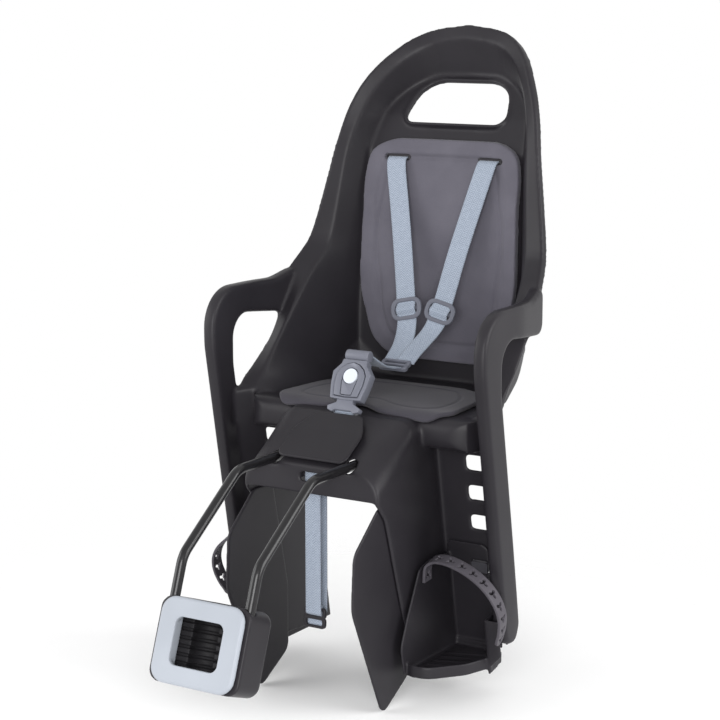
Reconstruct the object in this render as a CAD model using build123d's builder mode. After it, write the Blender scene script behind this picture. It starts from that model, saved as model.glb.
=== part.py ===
import math
import os

from build123d import *

os.makedirs("parts", exist_ok=True)

# The origin is the middle of the seat tube clamp. +Y is backwards on the bike, +X is the child's left.
seat_tube_lean = 20.0  # degrees from upright, top backwards
seat_tube_r = 16.0
seat_setback = 329.0  # clamp axis to the middle of the seat pad, backwards
seat_rise = 205.0  # clamp axis to the top of the seat pad, upwards
seat_datum = Vector(0, seat_setback, seat_rise)

# Shell. Points are half width, back and up from the seat datum.
shell_wall = 4.0
rim_stations = [  # foot of the wall, inner edge of the rim, outer edge of the rim, from the top to the front
    ((0, 222, 366), (0, 207, 404), (0, 214, 420)),
    ((37, 219, 362), (44, 204, 397), (52, 209, 412)),
    ((64, 211, 350), (74, 189, 378), (85, 187, 391)),
    ((86, 196, 332), (97, 167, 348), (109, 160, 359)),
    ((98, 180, 311), (111, 150, 316), (126, 143, 322)),
    ((105, 160, 270), (121, 133, 274), (138, 130, 275)),
    ((108, 152, 215), (127, 122, 217), (149, 118, 217)),
    ((110, 148, 165), (132, 113, 168), (158, 105, 168)),
    ((111, 146, 132), (136, 100, 146), (164, 89, 147)),
    ((112, 145, 92), (141, 82, 127), (169, 73, 129)),
    ((113, 145, 40), (144, 55, 96), (171, 59, 93)),
    ((114, 136, -4), (147, 31, 66), (169, 42, 63)),
    ((116, 80, -7), (149, 8, 39), (170, 22, 41)),
    ((119, 30, -7), (150, -11, 13), (171, -14, 15)),
    ((121, -8, -8), (150, -24, 0), (171, -28, 3)),
]
rim_lip = 12.0
rim_turn = 100.0  # degrees between the rim face and the lip behind it
rim_steps = 3
rim_root = 5.0
back_stations = [  # height, half width, back of the plate's side edge
    (-10, 117, 145),
    (45, 117, 145),
    (95, 115, 145.5),
    (150, 113, 148),
    (215, 111, 152),
    (270, 108, 160),
    (311, 101, 180),
    (332, 89, 196),
    (350, 67, 211.5),
    (365, 34, 221),
]
back_sag = 6.0
back_wall = 5.0
pan_z = -6.0
pan_half = 121.0
pan_thick = 6.0
pan_rear = 154.0
pan_front = -8.0
nose_front = -46.0
nose_depth = 36.0
nose_r = 15.0
nose_end = 172.0
leg_lean = 10.5  # degrees, the leg goes backwards as it goes down
leg_start = -12.0
leg_inner = 84.0
leg_outer = 152.0
leg_length = 248.0
flank_reach = 25.0
flank_length = 228.0
flank_root = 3.0
strut_inner = 170.0
strut_outer = 186.0
strut_round = 4.0
arm_top = 121.0
arm_root_top = 132.0
arm_bottom = 88.0
arm_root_bottom = 76.0
arm_rear = 82.0
arm_turn = 6.0  # the arm starts to close in on the shell here
arm_close = 13.0
arm_turn_r = 160.0
arm_front = -80.0
arm_front_r = 46.0
arm_inner_r = 28.0
strut_depth = 38.0
strut_bend = 55.0
strut_inner_bend = 30.0
strut_foot = -262.0
strut_foot_r = 18.0
pommel_stations = [  # back, top height, rounding of the shoulders
    (-6, -6, 12),
    (-62, -8, 22),
    (-100, -30, 30),
    (-138, -54, 30),
]
pommel_half = 88.0
pommel_foot = -86.0
pommel_front = -138.0
arch_line = [(-134, -74), (-138, -87), (-120, -108), (-88, -206), (-60, -282)]
leg_window_w = 22.0
leg_window_h = 16.0
leg_window_pitch = 31.0
leg_window_count = 6
leg_window_first = 20.0
leg_window_x = 134.0
crotch_slot_w = 32.0
crotch_slot_l = 12.0
crotch_slot_y = -66.0
tether_slot_w = 26.0
tether_slot_h = 9.0
tether_slot_z = -66.0
handle_back = 196.0
handle_up = 330.0
handle_lean = 39.4
handle_low_half = 70.0
handle_top_half = 58.0
handle_low = -33.0
handle_top = 29.0
handle_low_r = 13.0
handle_top_r = 36.0
handle_collar = 22.0
slot_x = 62.0
slot_z = 262.0
slot_w = 30.0
slot_h = 7.0

# Pads
pad_gap = 0.3
back_pad_thick = 10.0
back_pad_half = 108.0
back_pad_panel = 1.5
back_pad_border = 16.0
back_pad_outline = [(84, 284), (104, 226), (107, 108), (84, 20)]
back_pad_radii = [30, 120, 150, 50]
seat_pad_thick = 5.4
seat_pad_outline = [(0, -28), (30, -46), (98, -46), (117, -26), (110, 60), (76, 102)]
seat_pad_radii = [12, 24, 22, 28, 50, 60]
cover_lift = 5.6
cover_thick = 3.4
cover_rear = -73.0
cover_front = -137.0
cover_rear_half = 30.0
cover_mid_half = 46.0
cover_front_half = 45.0
cover_foot_inset = 7.0

# Bar and block
bar_r = 5.5
bar_x = 48.0
bar_z = -50.0
bar_hole_gap = 0.7
bar_inner_end = 68.0
bar_bend_front = -205.0
bar_low_bend = Vector(0, -305, -121)
bar_socket_end = 32.0
bar_bend_r = 32.0
bar_inner_r = 24.0
bracket_gap = 0.05
bracket_half_w = 62.0
bracket_front = -52.0
bracket_rear = 12.0
bracket_wall = 6.0
screw_x = 14.0
screw_r = 2.5
screw_head_r = 4.5
screw_head_h = 3.0
screw_gap = 0.05
screw_grip = 3.5
socket_gap = 0.05
block_half_w = 57.0
block_half_h = 45.0
block_back = -28.0
block_corner = 14.0
hump_half_w = 30.0
hump_back = -38.0
plate_front = 22.0
plate_back = 16.0
plate_half_w = 52.0
plate_half_h = 45.0
plate_corner = 17.0
plate_seam = 0.3
plate_edge_r = 3.5
window_half_w = 30.0
window_half_h = 25.0
window_corner = 8.0
jaw_wall = 3.5
liner_flat = 8.0
liner_half_w = 34.0
liner_half_h = 28.0
liner_back = -21.0
liner_gap = 0.05
tube_passage = 1.0
rib_count = 6
rib_pitch = 8.8
rib_gap = 3.4
rib_deep = 2.5
bolt_x = 29.0
bolt_u = 36.0
bolt_r = 3.0
bolt_gap = 0.05
bolt_head_r = 5.0
bolt_head_h = 5.0
bolt_end = 20.0
button_half_w = 14.0
button_half_h = 9.0
button_gap = 0.35
button_thick = 8.0
button_proud = 4.0
button_pocket = -25.0

# Harness
webbing_w = 25.0
webbing_t = 1.6
strap_path = [  # half width, back, up; from behind the shell to the joiner
    (62, 169.5, 262),
    (62, 160, 262),
    (62, 151, 262),
    (60, 145.5, 250),
    (50, 137, 210),
    (36, 123, 150),
    (27.4, 114.2, 104.8),
    (23, 109, 86),
    (18.6, 103.8, 67.2),
    (12, 81, 50),
    (9, 56.3, 36.2),
    (9, 51.2, 32.3),
]
strap_ply = 2.4
anchor_gap = 0.3
anchor_size = (34, 8, 6)
slider_size = (44, 30, 3.5)
slider_window = (30, 20)
slider_lift = 1.3
slider_post = 4.0
slider_bar = 5.0
joiner_middle = Vector(0, 44.4, 30.3)
joiner_size = (40, 12, 9)
joiner_path = [(0, 38, 29.3), (0, 18, 31.5), (0, -4, 40), (0, -25.8, 52.6)]
buckle_middle = Vector(0, -47, 30)
buckle_outline = [(15, 37), (25, 8), (22, -22), (14, -36)]
buckle_radii = [7, 30, 16, 8]
buckle_thick = 14.0
buckle_up = Vector(0, 36, 65)
buckle_button_r = 9.0
buckle_button_gap = 0.4
buckle_button_deep = 6.0
buckle_button_thick = 4.0
crotch_path = [(0, -64.6, -1.76), (0, -66, -4.3), (0, -66, -11), (0, -66, -16.9)]
tether_w = 20.0
tether_t = 1.4
tether_y = -124.0
tether_loop = 14.0
tether_top = -58.0
tether_bottom = -226.0
tether_bar_gap = 0.3
tether_lug_in = 13.0
tether_lug_out = 17.0
tether_lock_w = 29.0
tether_lock_thick = 4.0

# Feet
foot_inner = 92.0
foot_wall = 3.0
foot_gap = 0.5
foot_back_top = 116.0
foot_back_end = 254.0
foot_back_outer = 146.0
sole_z = -292.0
sole_thick = 6.0
sole_rim = 8.0
sole_outline = [(92, 29), (92, -90), (122, -88), (152, -52), (166, -8), (166, 6), (145, 27)]
sole_radii = [4, 12, 24, 40, 20, 6, 4]
foot_cheek = [(9, -172), (-36, -170), (-58, -176), (-84, -226), (-98, -258), (-90, -292), (30, -292)]
foot_cheek_radii = [4, 10, 12, 60, 24, 6, 4]
strut_gap = 2.0
wing_inner = strut_inner - 5.0 - foot_wall
wing_outer = strut_outer + strut_gap + foot_wall
wing_top = 182.0
wing_end = 250.0
wing_depth_out = 16.0
sole_ridges = 4
ridge_middle = (128, -24)
ridge_l = 52.0
ridge_w = 3.0
ridge_slant = 20.0
ridge_pitch = 16.0
ridge_h = 1.6
foot_strap_w = 17.0
foot_strap_t = 3.0
foot_strap_path = [
    (97.2, -46, -206),
    (97.2, -47, -184),
    (103, -49, -168),
    (118, -51, -160),
    (138, -50, -163),
    (160, -48, -182),
    (180, -46, -210),
    (192, -40, -228),
    (194.5, -22, -242),
    (194.5, -8, -258),
]
catch_w = 20.0
catch_h = 13.0
catch_slot = 4
catch_gap = 0.4
catch_proud = 2.0
guard_gap = 0.3
guard_thick = 3.0
guard_outline = [(-90, -92), (-128, -92), (-178, -134), (-182, -196), (-119, -331), (-60, -298), (-60, -220)]
guard_radii = [6, 16, 22, 40, 12, 16, 20]


def side(x):
    return Plane(origin=(x, seat_setback, seat_rise), x_dir=(0, 1, 0), z_dir=(1, 0, 0))


def front(y):
    return Plane(origin=(0, seat_setback + y, seat_rise), x_dir=(1, 0, 0), z_dir=(0, -1, 0))


def level(z):
    return Plane(origin=(0, seat_setback, seat_rise + z), x_dir=(1, 0, 0), z_dir=(0, 0, 1))


leg_down = Vector(0, math.sin(math.radians(leg_lean)), -math.cos(math.radians(leg_lean)))
leg_top = seat_datum + Vector(0, leg_start, pan_z - nose_depth)


def across_leg(length):
    return Plane(origin=leg_top + leg_down * length, x_dir=(1, 0, 0), z_dir=leg_down)


leg_face = Plane(origin=leg_top, x_dir=(1, 0, 0), z_dir=across_leg(0).y_dir)
tube_axis = Vector(0, math.sin(math.radians(seat_tube_lean)), math.cos(math.radians(seat_tube_lean)))
tube_front = Vector(0, -tube_axis.Z, tube_axis.Y)
handle_front = Vector(0, -math.cos(math.radians(handle_lean)), math.sin(math.radians(handle_lean)))
handle_plane = Plane(
    origin=seat_datum + Vector(0, handle_back, handle_up), x_dir=(1, 0, 0), z_dir=handle_front
)


def block_face(depth):
    return Plane(origin=tube_front * depth, x_dir=(1, 0, 0), z_dir=tube_front)


def strip(points, radii, thick):
    """Outline and corner radii of an even plate whose face runs through the points, its body on the left."""
    far = []
    far_radii = []
    for i, (y, z) in enumerate(points):
        before = points[max(i - 1, 0)]
        after = points[min(i + 1, len(points) - 1)]
        a = math.atan2(z - before[1], y - before[0])
        b = math.atan2(after[1] - z, after[0] - y)
        if i == 0:
            a = b
        if i == len(points) - 1:
            b = a
        turn = (b - a + math.pi) % (2 * math.pi) - math.pi
        reach = thick / math.cos(turn / 2)
        middle = a + turn / 2 + math.pi / 2
        far.append((y + reach * math.cos(middle), z + reach * math.sin(middle)))
        inner = radii[i] - thick if turn > 0 else radii[i] + thick
        far_radii.append(max(inner, 0.5) if radii[i] > 0 else 0)
    return points + far[::-1], radii + far_radii[::-1]


def rim_section(foot, edge, outer):
    """Plane and outline of the moulded edge at one station: wall, rim face and lip turned back."""
    foot = Vector(*foot)
    edge = Vector(*edge)
    outer = Vector(*outer)
    wall_dir = (edge - foot).normalized()
    normal = wall_dir.cross(outer - edge).normalized()
    plane = Plane(origin=seat_datum + edge, x_dir=wall_dir, z_dir=normal)
    deep = (edge - foot).length + rim_root
    out = plane.to_local_coords(seat_datum + outer)
    back = math.atan2(out.Y, out.X) + math.radians(rim_turn)
    lip = (out.X + rim_lip * math.cos(back), out.Y + rim_lip * math.sin(back))
    return plane, strip([(-deep, 0), (0, 0), (out.X, out.Y), lip], [0, 0, 0, 0], shell_wall)[0]


def between(stations, steps):
    """The stations with more added between them, on a curve that runs through them."""
    rows = [[c for point in station for c in point] for station in stations]
    rows = rows[:1] + rows + rows[-1:]
    filled = []
    for i in range(1, len(rows) - 2):
        for k in range(steps):
            t = k / steps
            row = []
            for a, b, c, d in zip(*rows[i - 1 : i + 3]):
                row.append(b + t * (c - a + t * (2 * a - 5 * b + 4 * c - d + t * (3 * b - a - 3 * c + d))) / 2)
            filled.append(row)
    filled.append(rows[-1])
    return [(row[0:3], row[3:6], row[6:9]) for row in filled]


# The rolled rim and its wall on the left side, from the top middle to the front
with BuildPart() as rim:
    for section_plane, outline in [rim_section(*s) for s in between(rim_stations, rim_steps)]:
        with BuildSketch(section_plane):
            with BuildLine():
                Polyline(*outline, close=True)
            make_face()
    loft(ruled=True)


def back_slice(z, half, near, thick):
    """Level slice of a slab that follows the hollow of the back, from near to near + thick."""
    face = ThreePointArc((-half, near), (0, near + back_sag), (half, near))
    rear = ThreePointArc((half, near + thick), (0, near + thick + back_sag), (-half, near + thick))
    return level(z) * make_face(face + Line(face @ 1, rear @ 0) + rear + Line(rear @ 1, face @ 0))


back_slices = [back_slice(z, half, back, back_wall) for z, half, back in back_stations]
with BuildPart() as back_plate:
    loft(sections=back_slices, ruled=True)

lean = math.tan(math.radians(leg_lean))


def leg_back(z):
    """Face of the calf plate at a height."""
    return leg_start + (pan_z - nose_depth - z) * lean


def strut_front(z):
    return arm_front + (strut_bend - z) * lean


calf_end = pan_z - nose_depth - leg_length * math.cos(math.radians(leg_lean))
leg_face_line = [
    (20, pan_z),
    (nose_front, pan_z),
    (nose_front, pan_z - nose_depth),
    (leg_start, pan_z - nose_depth),
    (leg_back(calf_end), calf_end),
]
nose_cap = leg_face_line[:3] + [(20, pan_z - nose_depth)]
inner_wall_line = arch_line + [(leg_back(calf_end), calf_end), (leg_back(-74), -74)]
arm_line = [
    (arm_rear, arm_root_top),
    (arm_rear - 40, arm_top),
    (arm_front, arm_top),
    (arm_front, strut_bend),
    (strut_front(strut_foot), strut_foot),
    (strut_front(strut_foot) + strut_depth, strut_foot),
    (strut_front(strut_inner_bend) + strut_depth, strut_inner_bend),
    (strut_front(strut_inner_bend) + strut_depth, arm_bottom),
    (arm_rear, arm_root_bottom),
]

arm_plan = [
    (strut_outer, -200),
    (strut_outer, arm_turn),
    (strut_outer - arm_close, arm_rear + 1),
    (strut_inner - arm_close, arm_rear + 1),
    (strut_inner, arm_turn),
    (strut_inner, -200),
]
# One arm with its strut, rounded all round
with BuildPart() as arm:
    with BuildSketch(side(strut_inner - arm_close)):
        with BuildLine():
            FilletPolyline(
                *arm_line,
                radius=[9, 60, arm_front_r, 90, strut_foot_r, strut_foot_r, 90, arm_inner_r, 14],
                close=True,
            )
        make_face()
    extrude(amount=strut_outer - strut_inner + arm_close)
    with BuildSketch(level(200)):
        with BuildLine():
            FilletPolyline(*arm_plan, radius=[0, arm_turn_r, 0, 0, arm_turn_r, 0], close=True)
        make_face()
    extrude(amount=-500, mode=Mode.INTERSECT)
    seam_zone = seat_setback + arm_turn
    upright = arm.edges().filter_by(Axis.Z)
    seams = upright.filter_by_position(Axis.Y, seam_zone - 25, seam_zone + 25)
    fillet([e for e in arm.edges().filter_by(Axis.X, reverse=True) if e not in seams], radius=strut_round)

# One leg channel: nose of the pan, calf plate, inner wall beside the wheel, slanted flank to the strut
with BuildPart() as leg:
    with BuildSketch(side(leg_inner)):
        with BuildLine():
            outline, corners = strip(leg_face_line, [0, nose_r, nose_r, 6, 0], shell_wall)
            FilletPolyline(*outline, radius=corners, close=True)
        make_face()
    extrude(amount=leg_outer - leg_inner)
    with BuildSketch(side(leg_outer)):
        with BuildLine():
            outline, corners = strip(leg_face_line[:4], [0, nose_r, nose_r, 0], shell_wall)
            FilletPolyline(*outline, radius=corners, close=True)
        make_face()
    extrude(amount=nose_end - leg_outer)
    with BuildSketch(side(nose_end)):
        with BuildLine():
            FilletPolyline(*nose_cap, radius=[0, nose_r, nose_r, 0], close=True)
        make_face()
    extrude(amount=-shell_wall)
    with BuildSketch(side(leg_inner)):
        with BuildLine():
            FilletPolyline(*nose_cap, radius=[0, nose_r, nose_r, 0], close=True)
        make_face()
    extrude(amount=shell_wall)
    with BuildSketch(side(leg_inner)):
        with BuildLine():
            FilletPolyline(*inner_wall_line, radius=[0, 8, 30, 0, 12, 0, 0], close=True)
        make_face()
    extrude(amount=shell_wall)
    with BuildSketch(across_leg(-flank_root)):
        with BuildLine():
            Polyline(
                (leg_outer - 4, 0),
                (strut_inner + 1, flank_reach),
                (strut_inner + 4, flank_reach - 4),
                (leg_outer, -shell_wall),
                (leg_outer - 4, -shell_wall),
                close=True,
            )
        make_face()
    extrude(amount=flank_length + flank_root)
    with BuildSketch(leg_face):
        for i in range(leg_window_count):
            with Locations((leg_window_x, -leg_window_first - i * leg_window_pitch)):
                RectangleRounded(leg_window_w, leg_window_h, 2.5)
    extrude(amount=-shell_wall - 1, mode=Mode.SUBTRACT)

# The saddle of the pommel between the legs
with BuildPart() as pommel:
    for y, top, shoulder in pommel_stations:
        with BuildSketch(front(y)):
            with BuildLine():
                FilletPolyline(
                    (-pommel_half, pommel_foot),
                    (-pommel_half, top),
                    (pommel_half, top),
                    (pommel_half, pommel_foot),
                    (pommel_half - shell_wall, pommel_foot),
                    (pommel_half - shell_wall, top - shell_wall),
                    (-pommel_half + shell_wall, top - shell_wall),
                    (-pommel_half + shell_wall, pommel_foot),
                    radius=[0, shoulder, shoulder, 0, 0, shoulder - shell_wall, shoulder - shell_wall, 0],
                    close=True,
                )
            make_face()
    loft(ruled=True)

with BuildPart() as front_wall:
    with BuildSketch(front(pommel_front)):
        with BuildLine():
            FilletPolyline(
                (-pommel_half, pommel_foot),
                (-pommel_half, pommel_stations[-1][1]),
                (pommel_half, pommel_stations[-1][1]),
                (pommel_half, pommel_foot),
                radius=[0, pommel_stations[-1][2], pommel_stations[-1][2], 0],
                close=True,
            )
        make_face()
    extrude(amount=-shell_wall)

with BuildPart() as pan:
    with BuildSketch(level(pan_z)):
        with BuildLine():
            FilletPolyline(
                (-pan_half, pan_front),
                (pan_half, pan_front),
                (pan_half, pan_rear),
                (-pan_half, pan_rear),
                radius=[0, 0, 10, 10],
                close=True,
            )
        make_face()
    extrude(amount=-pan_thick)

handle_outline = FilletPolyline(
    (-handle_low_half, handle_low),
    (handle_low_half, handle_low),
    (handle_top_half, handle_top),
    (-handle_top_half, handle_top),
    radius=[handle_low_r, handle_low_r, handle_top_r, handle_top_r],
    close=True,
)
with BuildPart() as collar:
    with BuildSketch(handle_plane):
        make_face(handle_outline)
        offset(amount=shell_wall)
    extrude(amount=-handle_collar)

bracket_top = pan_z - pan_thick - pad_gap
bar_bracket_floor = bracket_top - bracket_wall
tether_bar_r = tether_loop / 2 - tether_t - tether_bar_gap
tether_bar_z = tether_top - tether_loop / 2
screw_spots = [(x, y) for x in (-screw_x, screw_x) for y in (bracket_front + 12, bracket_rear - 12)]
with BuildPart() as seat_shell:
    add(rim.part)
    mirror(rim.part, about=Plane.YZ)
    add(back_plate.part)
    add(collar.part)
    add(pan.part)
    add(leg.part)
    mirror(leg.part, about=Plane.YZ)
    add(pommel.part)
    add(front_wall.part)
    add(arm.part)
    mirror(arm.part, about=Plane.YZ)
    with BuildSketch(handle_plane.offset(40)):
        make_face(handle_outline)
    extrude(amount=-40 - handle_collar - 1, mode=Mode.SUBTRACT)
    with BuildSketch(front(pan_z)):
        with Locations((-slot_x, slot_z), (slot_x, slot_z)):
            RectangleRounded(slot_w, slot_h, 2)
    extrude(amount=-300, mode=Mode.SUBTRACT)
    with BuildSketch(level(20)):
        with Locations((0, crotch_slot_y)):
            RectangleRounded(crotch_slot_w, crotch_slot_l, 3)
    extrude(amount=-45, mode=Mode.SUBTRACT)
    with BuildSketch(front(pommel_front - 5)):
        with Locations((0, tether_slot_z)):
            RectangleRounded(tether_slot_w, tether_slot_h, 2)
        with Locations((-bar_x, bar_z), (bar_x, bar_z)):
            Circle(bar_r + bar_hole_gap)
    extrude(amount=-60, mode=Mode.SUBTRACT)
    with BuildSketch(level(bracket_top + pad_gap + screw_grip)):
        with Locations(*screw_spots):
            Circle(screw_r + screw_gap)
    extrude(amount=-screw_grip - 3, mode=Mode.SUBTRACT)
    with BuildSketch(side(-tether_lug_out)):
        with Locations((tether_y, tether_bar_z)):
            Circle(tether_bar_r)
    extrude(amount=2 * tether_lug_out)
    for lug_x in (-tether_lug_out, tether_lug_in):
        with BuildSketch(side(lug_x)):
            with Locations((pommel_front + shell_wall - 1, tether_bar_z)):
                Rectangle(
                    tether_y + tether_bar_r - pommel_front - shell_wall + 1,
                    2 * tether_bar_r,
                    align=(Align.MIN, Align.CENTER),
                )
        extrude(amount=tether_lug_out - tether_lug_in)


def both_sides(half):
    """A closed outline from the points of its left half."""
    return half + [(-x, y) for x, y in half[::-1] if x > 0]


def both_radii(half, radii):
    return radii + [r for (x, y), r in zip(half[::-1], radii[::-1]) if x > 0]


back_pad_ring = both_sides(back_pad_outline)
back_pad_corners = both_radii(back_pad_outline, back_pad_radii)
pad_heights = [(15, 145), (45, 145), (95, 145.5), (150, 148), (215, 152), (270, 160), (290, 169.4)]
pad_slices = [
    back_slice(z, back_pad_half, back - pad_gap - back_pad_thick, back_pad_thick) for z, back in pad_heights
]
panel_slices = [
    back_slice(z, back_pad_half, back - pad_gap - back_pad_thick - 2, 2 + back_pad_panel)
    for z, back in pad_heights
]
with BuildPart() as pad_panel:
    loft(sections=panel_slices, ruled=True)
    with BuildSketch(front(0)):
        with BuildLine():
            FilletPolyline(*back_pad_ring, radius=back_pad_corners, close=True)
        make_face()
        offset(amount=-back_pad_border, mode=Mode.REPLACE)
    extrude(amount=-300, mode=Mode.INTERSECT)

with BuildPart() as back_pad:
    loft(sections=pad_slices, ruled=True)
    with BuildSketch(front(0)):
        with BuildLine():
            FilletPolyline(*back_pad_ring, radius=back_pad_corners, close=True)
        make_face()
    extrude(amount=-300, mode=Mode.INTERSECT)
    add(pad_panel.part, mode=Mode.SUBTRACT)
    with BuildSketch(front(0)):
        with Locations((-slot_x, slot_z), (slot_x, slot_z)):
            RectangleRounded(slot_w, slot_h, 2)
    extrude(amount=-300, mode=Mode.SUBTRACT)

with BuildPart() as seat_pad:
    with BuildSketch(level(pan_z + pad_gap)):
        with BuildLine():
            FilletPolyline(
                *both_sides(seat_pad_outline),
                radius=both_radii(seat_pad_outline, seat_pad_radii),
                close=True,
            )
        make_face()
    extrude(amount=seat_pad_thick)
    fillet(seat_pad.faces().sort_by(Axis.Z)[-1].edges(), radius=1.5)

pommel_line = [(y, z) for y, z, shoulder in pommel_stations if y < -60]
cover_outline = [
    (cover_rear_half, cover_rear),
    (cover_mid_half, cover_rear - 26),
    (cover_front_half, cover_front),
]
# Cover plate that stands off the pommel on a smaller foot
with BuildPart() as cover_plate:
    with BuildSketch(side(0)):
        with BuildLine():
            lifted = [(y, z + cover_lift) for y, z in pommel_line]
            Polyline(*lifted, *[(y, z + cover_thick) for y, z in lifted[::-1]], close=True)
        make_face()
    extrude(amount=2 * cover_mid_half, both=True)
    with BuildSketch(level(30)):
        with BuildLine():
            FilletPolyline(
                *both_sides(cover_outline), radius=both_radii(cover_outline, [8, 30, 9]), close=True
            )
        make_face()
    extrude(amount=-120, mode=Mode.INTERSECT)

with BuildPart() as cover_foot:
    with BuildSketch(side(0)):
        with BuildLine():
            foot_line = [(y, z + pad_gap) for y, z in pommel_line]
            Polyline(*foot_line, *[(y, z + cover_lift) for y, z in foot_line[::-1]], close=True)
        make_face()
    extrude(amount=2 * cover_mid_half, both=True)
    with BuildSketch(level(30)):
        with BuildLine():
            FilletPolyline(
                *both_sides(cover_outline), radius=both_radii(cover_outline, [8, 30, 9]), close=True
            )
        make_face()
        offset(amount=-cover_foot_inset, mode=Mode.REPLACE)
    extrude(amount=-120, mode=Mode.INTERSECT)

with BuildPart() as pommel_cover:
    add(cover_plate.part)
    add(cover_foot.part)

# The holding bar, one bent length
bar_depth = tube_front.dot(seat_datum + bar_low_bend)
bar_run = [
    tube_axis * -bar_socket_end + tube_front * bar_depth,
    seat_datum + bar_low_bend,
    seat_datum + Vector(0, bar_bend_front, bar_z),
    seat_datum + Vector(0, bar_inner_end, bar_z),
]
bar_points = [Vector(-bar_x, p.Y, p.Z) for p in bar_run] + [Vector(bar_x, p.Y, p.Z) for p in bar_run[::-1]]
with BuildPart() as holding_bar:
    with BuildLine() as bar_path:
        FilletPolyline(
            *bar_points, radius=[bar_bend_r, bar_bend_r, bar_inner_r, bar_inner_r, bar_bend_r, bar_bend_r]
        )
    with BuildSketch(Plane(origin=bar_points[0], x_dir=(1, 0, 0), z_dir=tube_axis)):
        Circle(bar_r)
    sweep()

# Carrier under the pan in which the bar slides
with BuildPart() as bar_bracket:
    with BuildSketch(front(bracket_front)):
        with BuildLine():
            FilletPolyline(
                (-bracket_half_w, bracket_top),
                (-bracket_half_w, bar_z - bar_r - bracket_wall),
                (-bracket_half_w + 28, bar_z - bar_r - bracket_wall),
                (-screw_x - 12, bracket_top - bracket_wall),
                (screw_x + 12, bracket_top - bracket_wall),
                (bracket_half_w - 28, bar_z - bar_r - bracket_wall),
                (bracket_half_w, bar_z - bar_r - bracket_wall),
                (bracket_half_w, bracket_top),
                radius=[0, 8, 8, 6, 6, 8, 8, 0],
                close=True,
            )
        make_face()
        with Locations((-bar_x, bar_z), (bar_x, bar_z)):
            Circle(bar_r + bracket_gap, mode=Mode.SUBTRACT)
    extrude(amount=bracket_front - bracket_rear)
    with BuildSketch(level(bracket_top)):
        with Locations(*screw_spots):
            Circle(screw_r + screw_gap)
    extrude(amount=-bracket_wall - 1, mode=Mode.SUBTRACT)

# Screws up through the carrier into the pan
with BuildPart() as bracket_screws:
    with BuildSketch(level(bar_bracket_floor - screw_head_h)):
        with Locations(*screw_spots):
            Circle(screw_head_r)
    extrude(amount=screw_head_h - pad_gap / 3)
    with BuildSketch(level(bar_bracket_floor - screw_head_h)):
        with Locations(*screw_spots):
            Circle(screw_r)
    extrude(amount=screw_head_h + bracket_wall + pad_gap + screw_grip)

bar_holes = [(-bar_x, 0), (bar_x, 0)]
socket_plane = Plane(
    origin=tube_axis * -(bar_socket_end + 1) + tube_front * bar_depth, x_dir=(1, 0, 0), z_dir=tube_axis
)
tube_start = Plane(origin=tube_axis * -(block_half_h + 1), x_dir=(1, 0, 0), z_dir=tube_axis)
bolt_spots = [(x, u) for x in (-bolt_x, bolt_x) for u in (-bolt_u, bolt_u)]

with BuildPart() as block_housing:
    with BuildSketch(block_face(block_back)):
        RectangleRounded(2 * block_half_w, 2 * block_half_h, block_corner)
    extrude(amount=plate_back - plate_seam - block_back)
    fillet(block_housing.faces().sort_by(Axis(origin=(0, 0, 0), direction=tube_front))[0].edges(), radius=7)
    with BuildSketch(block_face(hump_back)):
        RectangleRounded(2 * hump_half_w, 2 * block_half_h, 8)
    extrude(amount=block_back + 10 - hump_back)
    fillet(block_housing.faces().sort_by(Axis(origin=(0, 0, 0), direction=tube_front))[0].edges(), radius=5)
    with BuildSketch(tube_start):
        Circle(seat_tube_r + tube_passage)
        with Locations((0, -plate_front / 2)):
            Rectangle(2 * (seat_tube_r + tube_passage), plate_front)
    extrude(amount=2 * block_half_h + 2, mode=Mode.SUBTRACT)
    with BuildSketch(block_face(plate_back)):
        Rectangle(2 * (liner_half_w + liner_gap), 2 * (liner_half_h + liner_gap))
    extrude(amount=liner_back - liner_gap - plate_back, mode=Mode.SUBTRACT)
    with BuildSketch(socket_plane):
        with Locations(*bar_holes):
            Circle(bar_r + socket_gap)
    extrude(amount=bar_socket_end + block_half_h + 5, mode=Mode.SUBTRACT)
    with BuildSketch(block_face(hump_back)):
        RectangleRounded(2 * (button_half_w + button_gap), 2 * (button_half_h + button_gap), 4)
    extrude(amount=button_pocket - hump_back, mode=Mode.SUBTRACT)
    with BuildSketch(block_face(block_back - 1)):
        with Locations(*bolt_spots):
            Circle(bolt_r + bolt_gap)
    extrude(amount=plate_back - block_back + 2, mode=Mode.SUBTRACT)
    with BuildSketch(block_face(hump_back - 1)):
        with Locations(*bolt_spots):
            Circle(bolt_head_r + 0.5)
    extrude(amount=block_back + bolt_head_h - hump_back + 1, mode=Mode.SUBTRACT)

with BuildPart() as block_front_plate:
    with BuildSketch(block_face(plate_back)):
        RectangleRounded(2 * plate_half_w, 2 * plate_half_h, plate_corner)
    extrude(amount=plate_front - plate_back)
    fillet(
        block_front_plate.faces().sort_by(Axis(origin=(0, 0, 0), direction=tube_front))[-1].edges(),
        radius=plate_edge_r,
    )
    with BuildSketch(block_face(liner_flat + 0.5)):
        with Locations((-window_half_w - jaw_wall / 2, 0), (window_half_w + jaw_wall / 2, 0)):
            Rectangle(jaw_wall, 2 * liner_half_h - 1)
    extrude(amount=plate_back - liner_flat)
    with BuildSketch(block_face(plate_front + 1)):
        RectangleRounded(2 * window_half_w, 2 * window_half_h, window_corner)
    extrude(amount=plate_back - plate_front - 1.5, mode=Mode.SUBTRACT)
    with BuildSketch(block_face(plate_back - 1)):
        with Locations(*bolt_spots):
            Circle(bolt_r + bolt_gap)
    extrude(amount=bolt_end - plate_back + 1.3, mode=Mode.SUBTRACT)

jaw_r = seat_tube_r + rib_deep
jaw_flat = liner_flat - rib_deep
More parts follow.
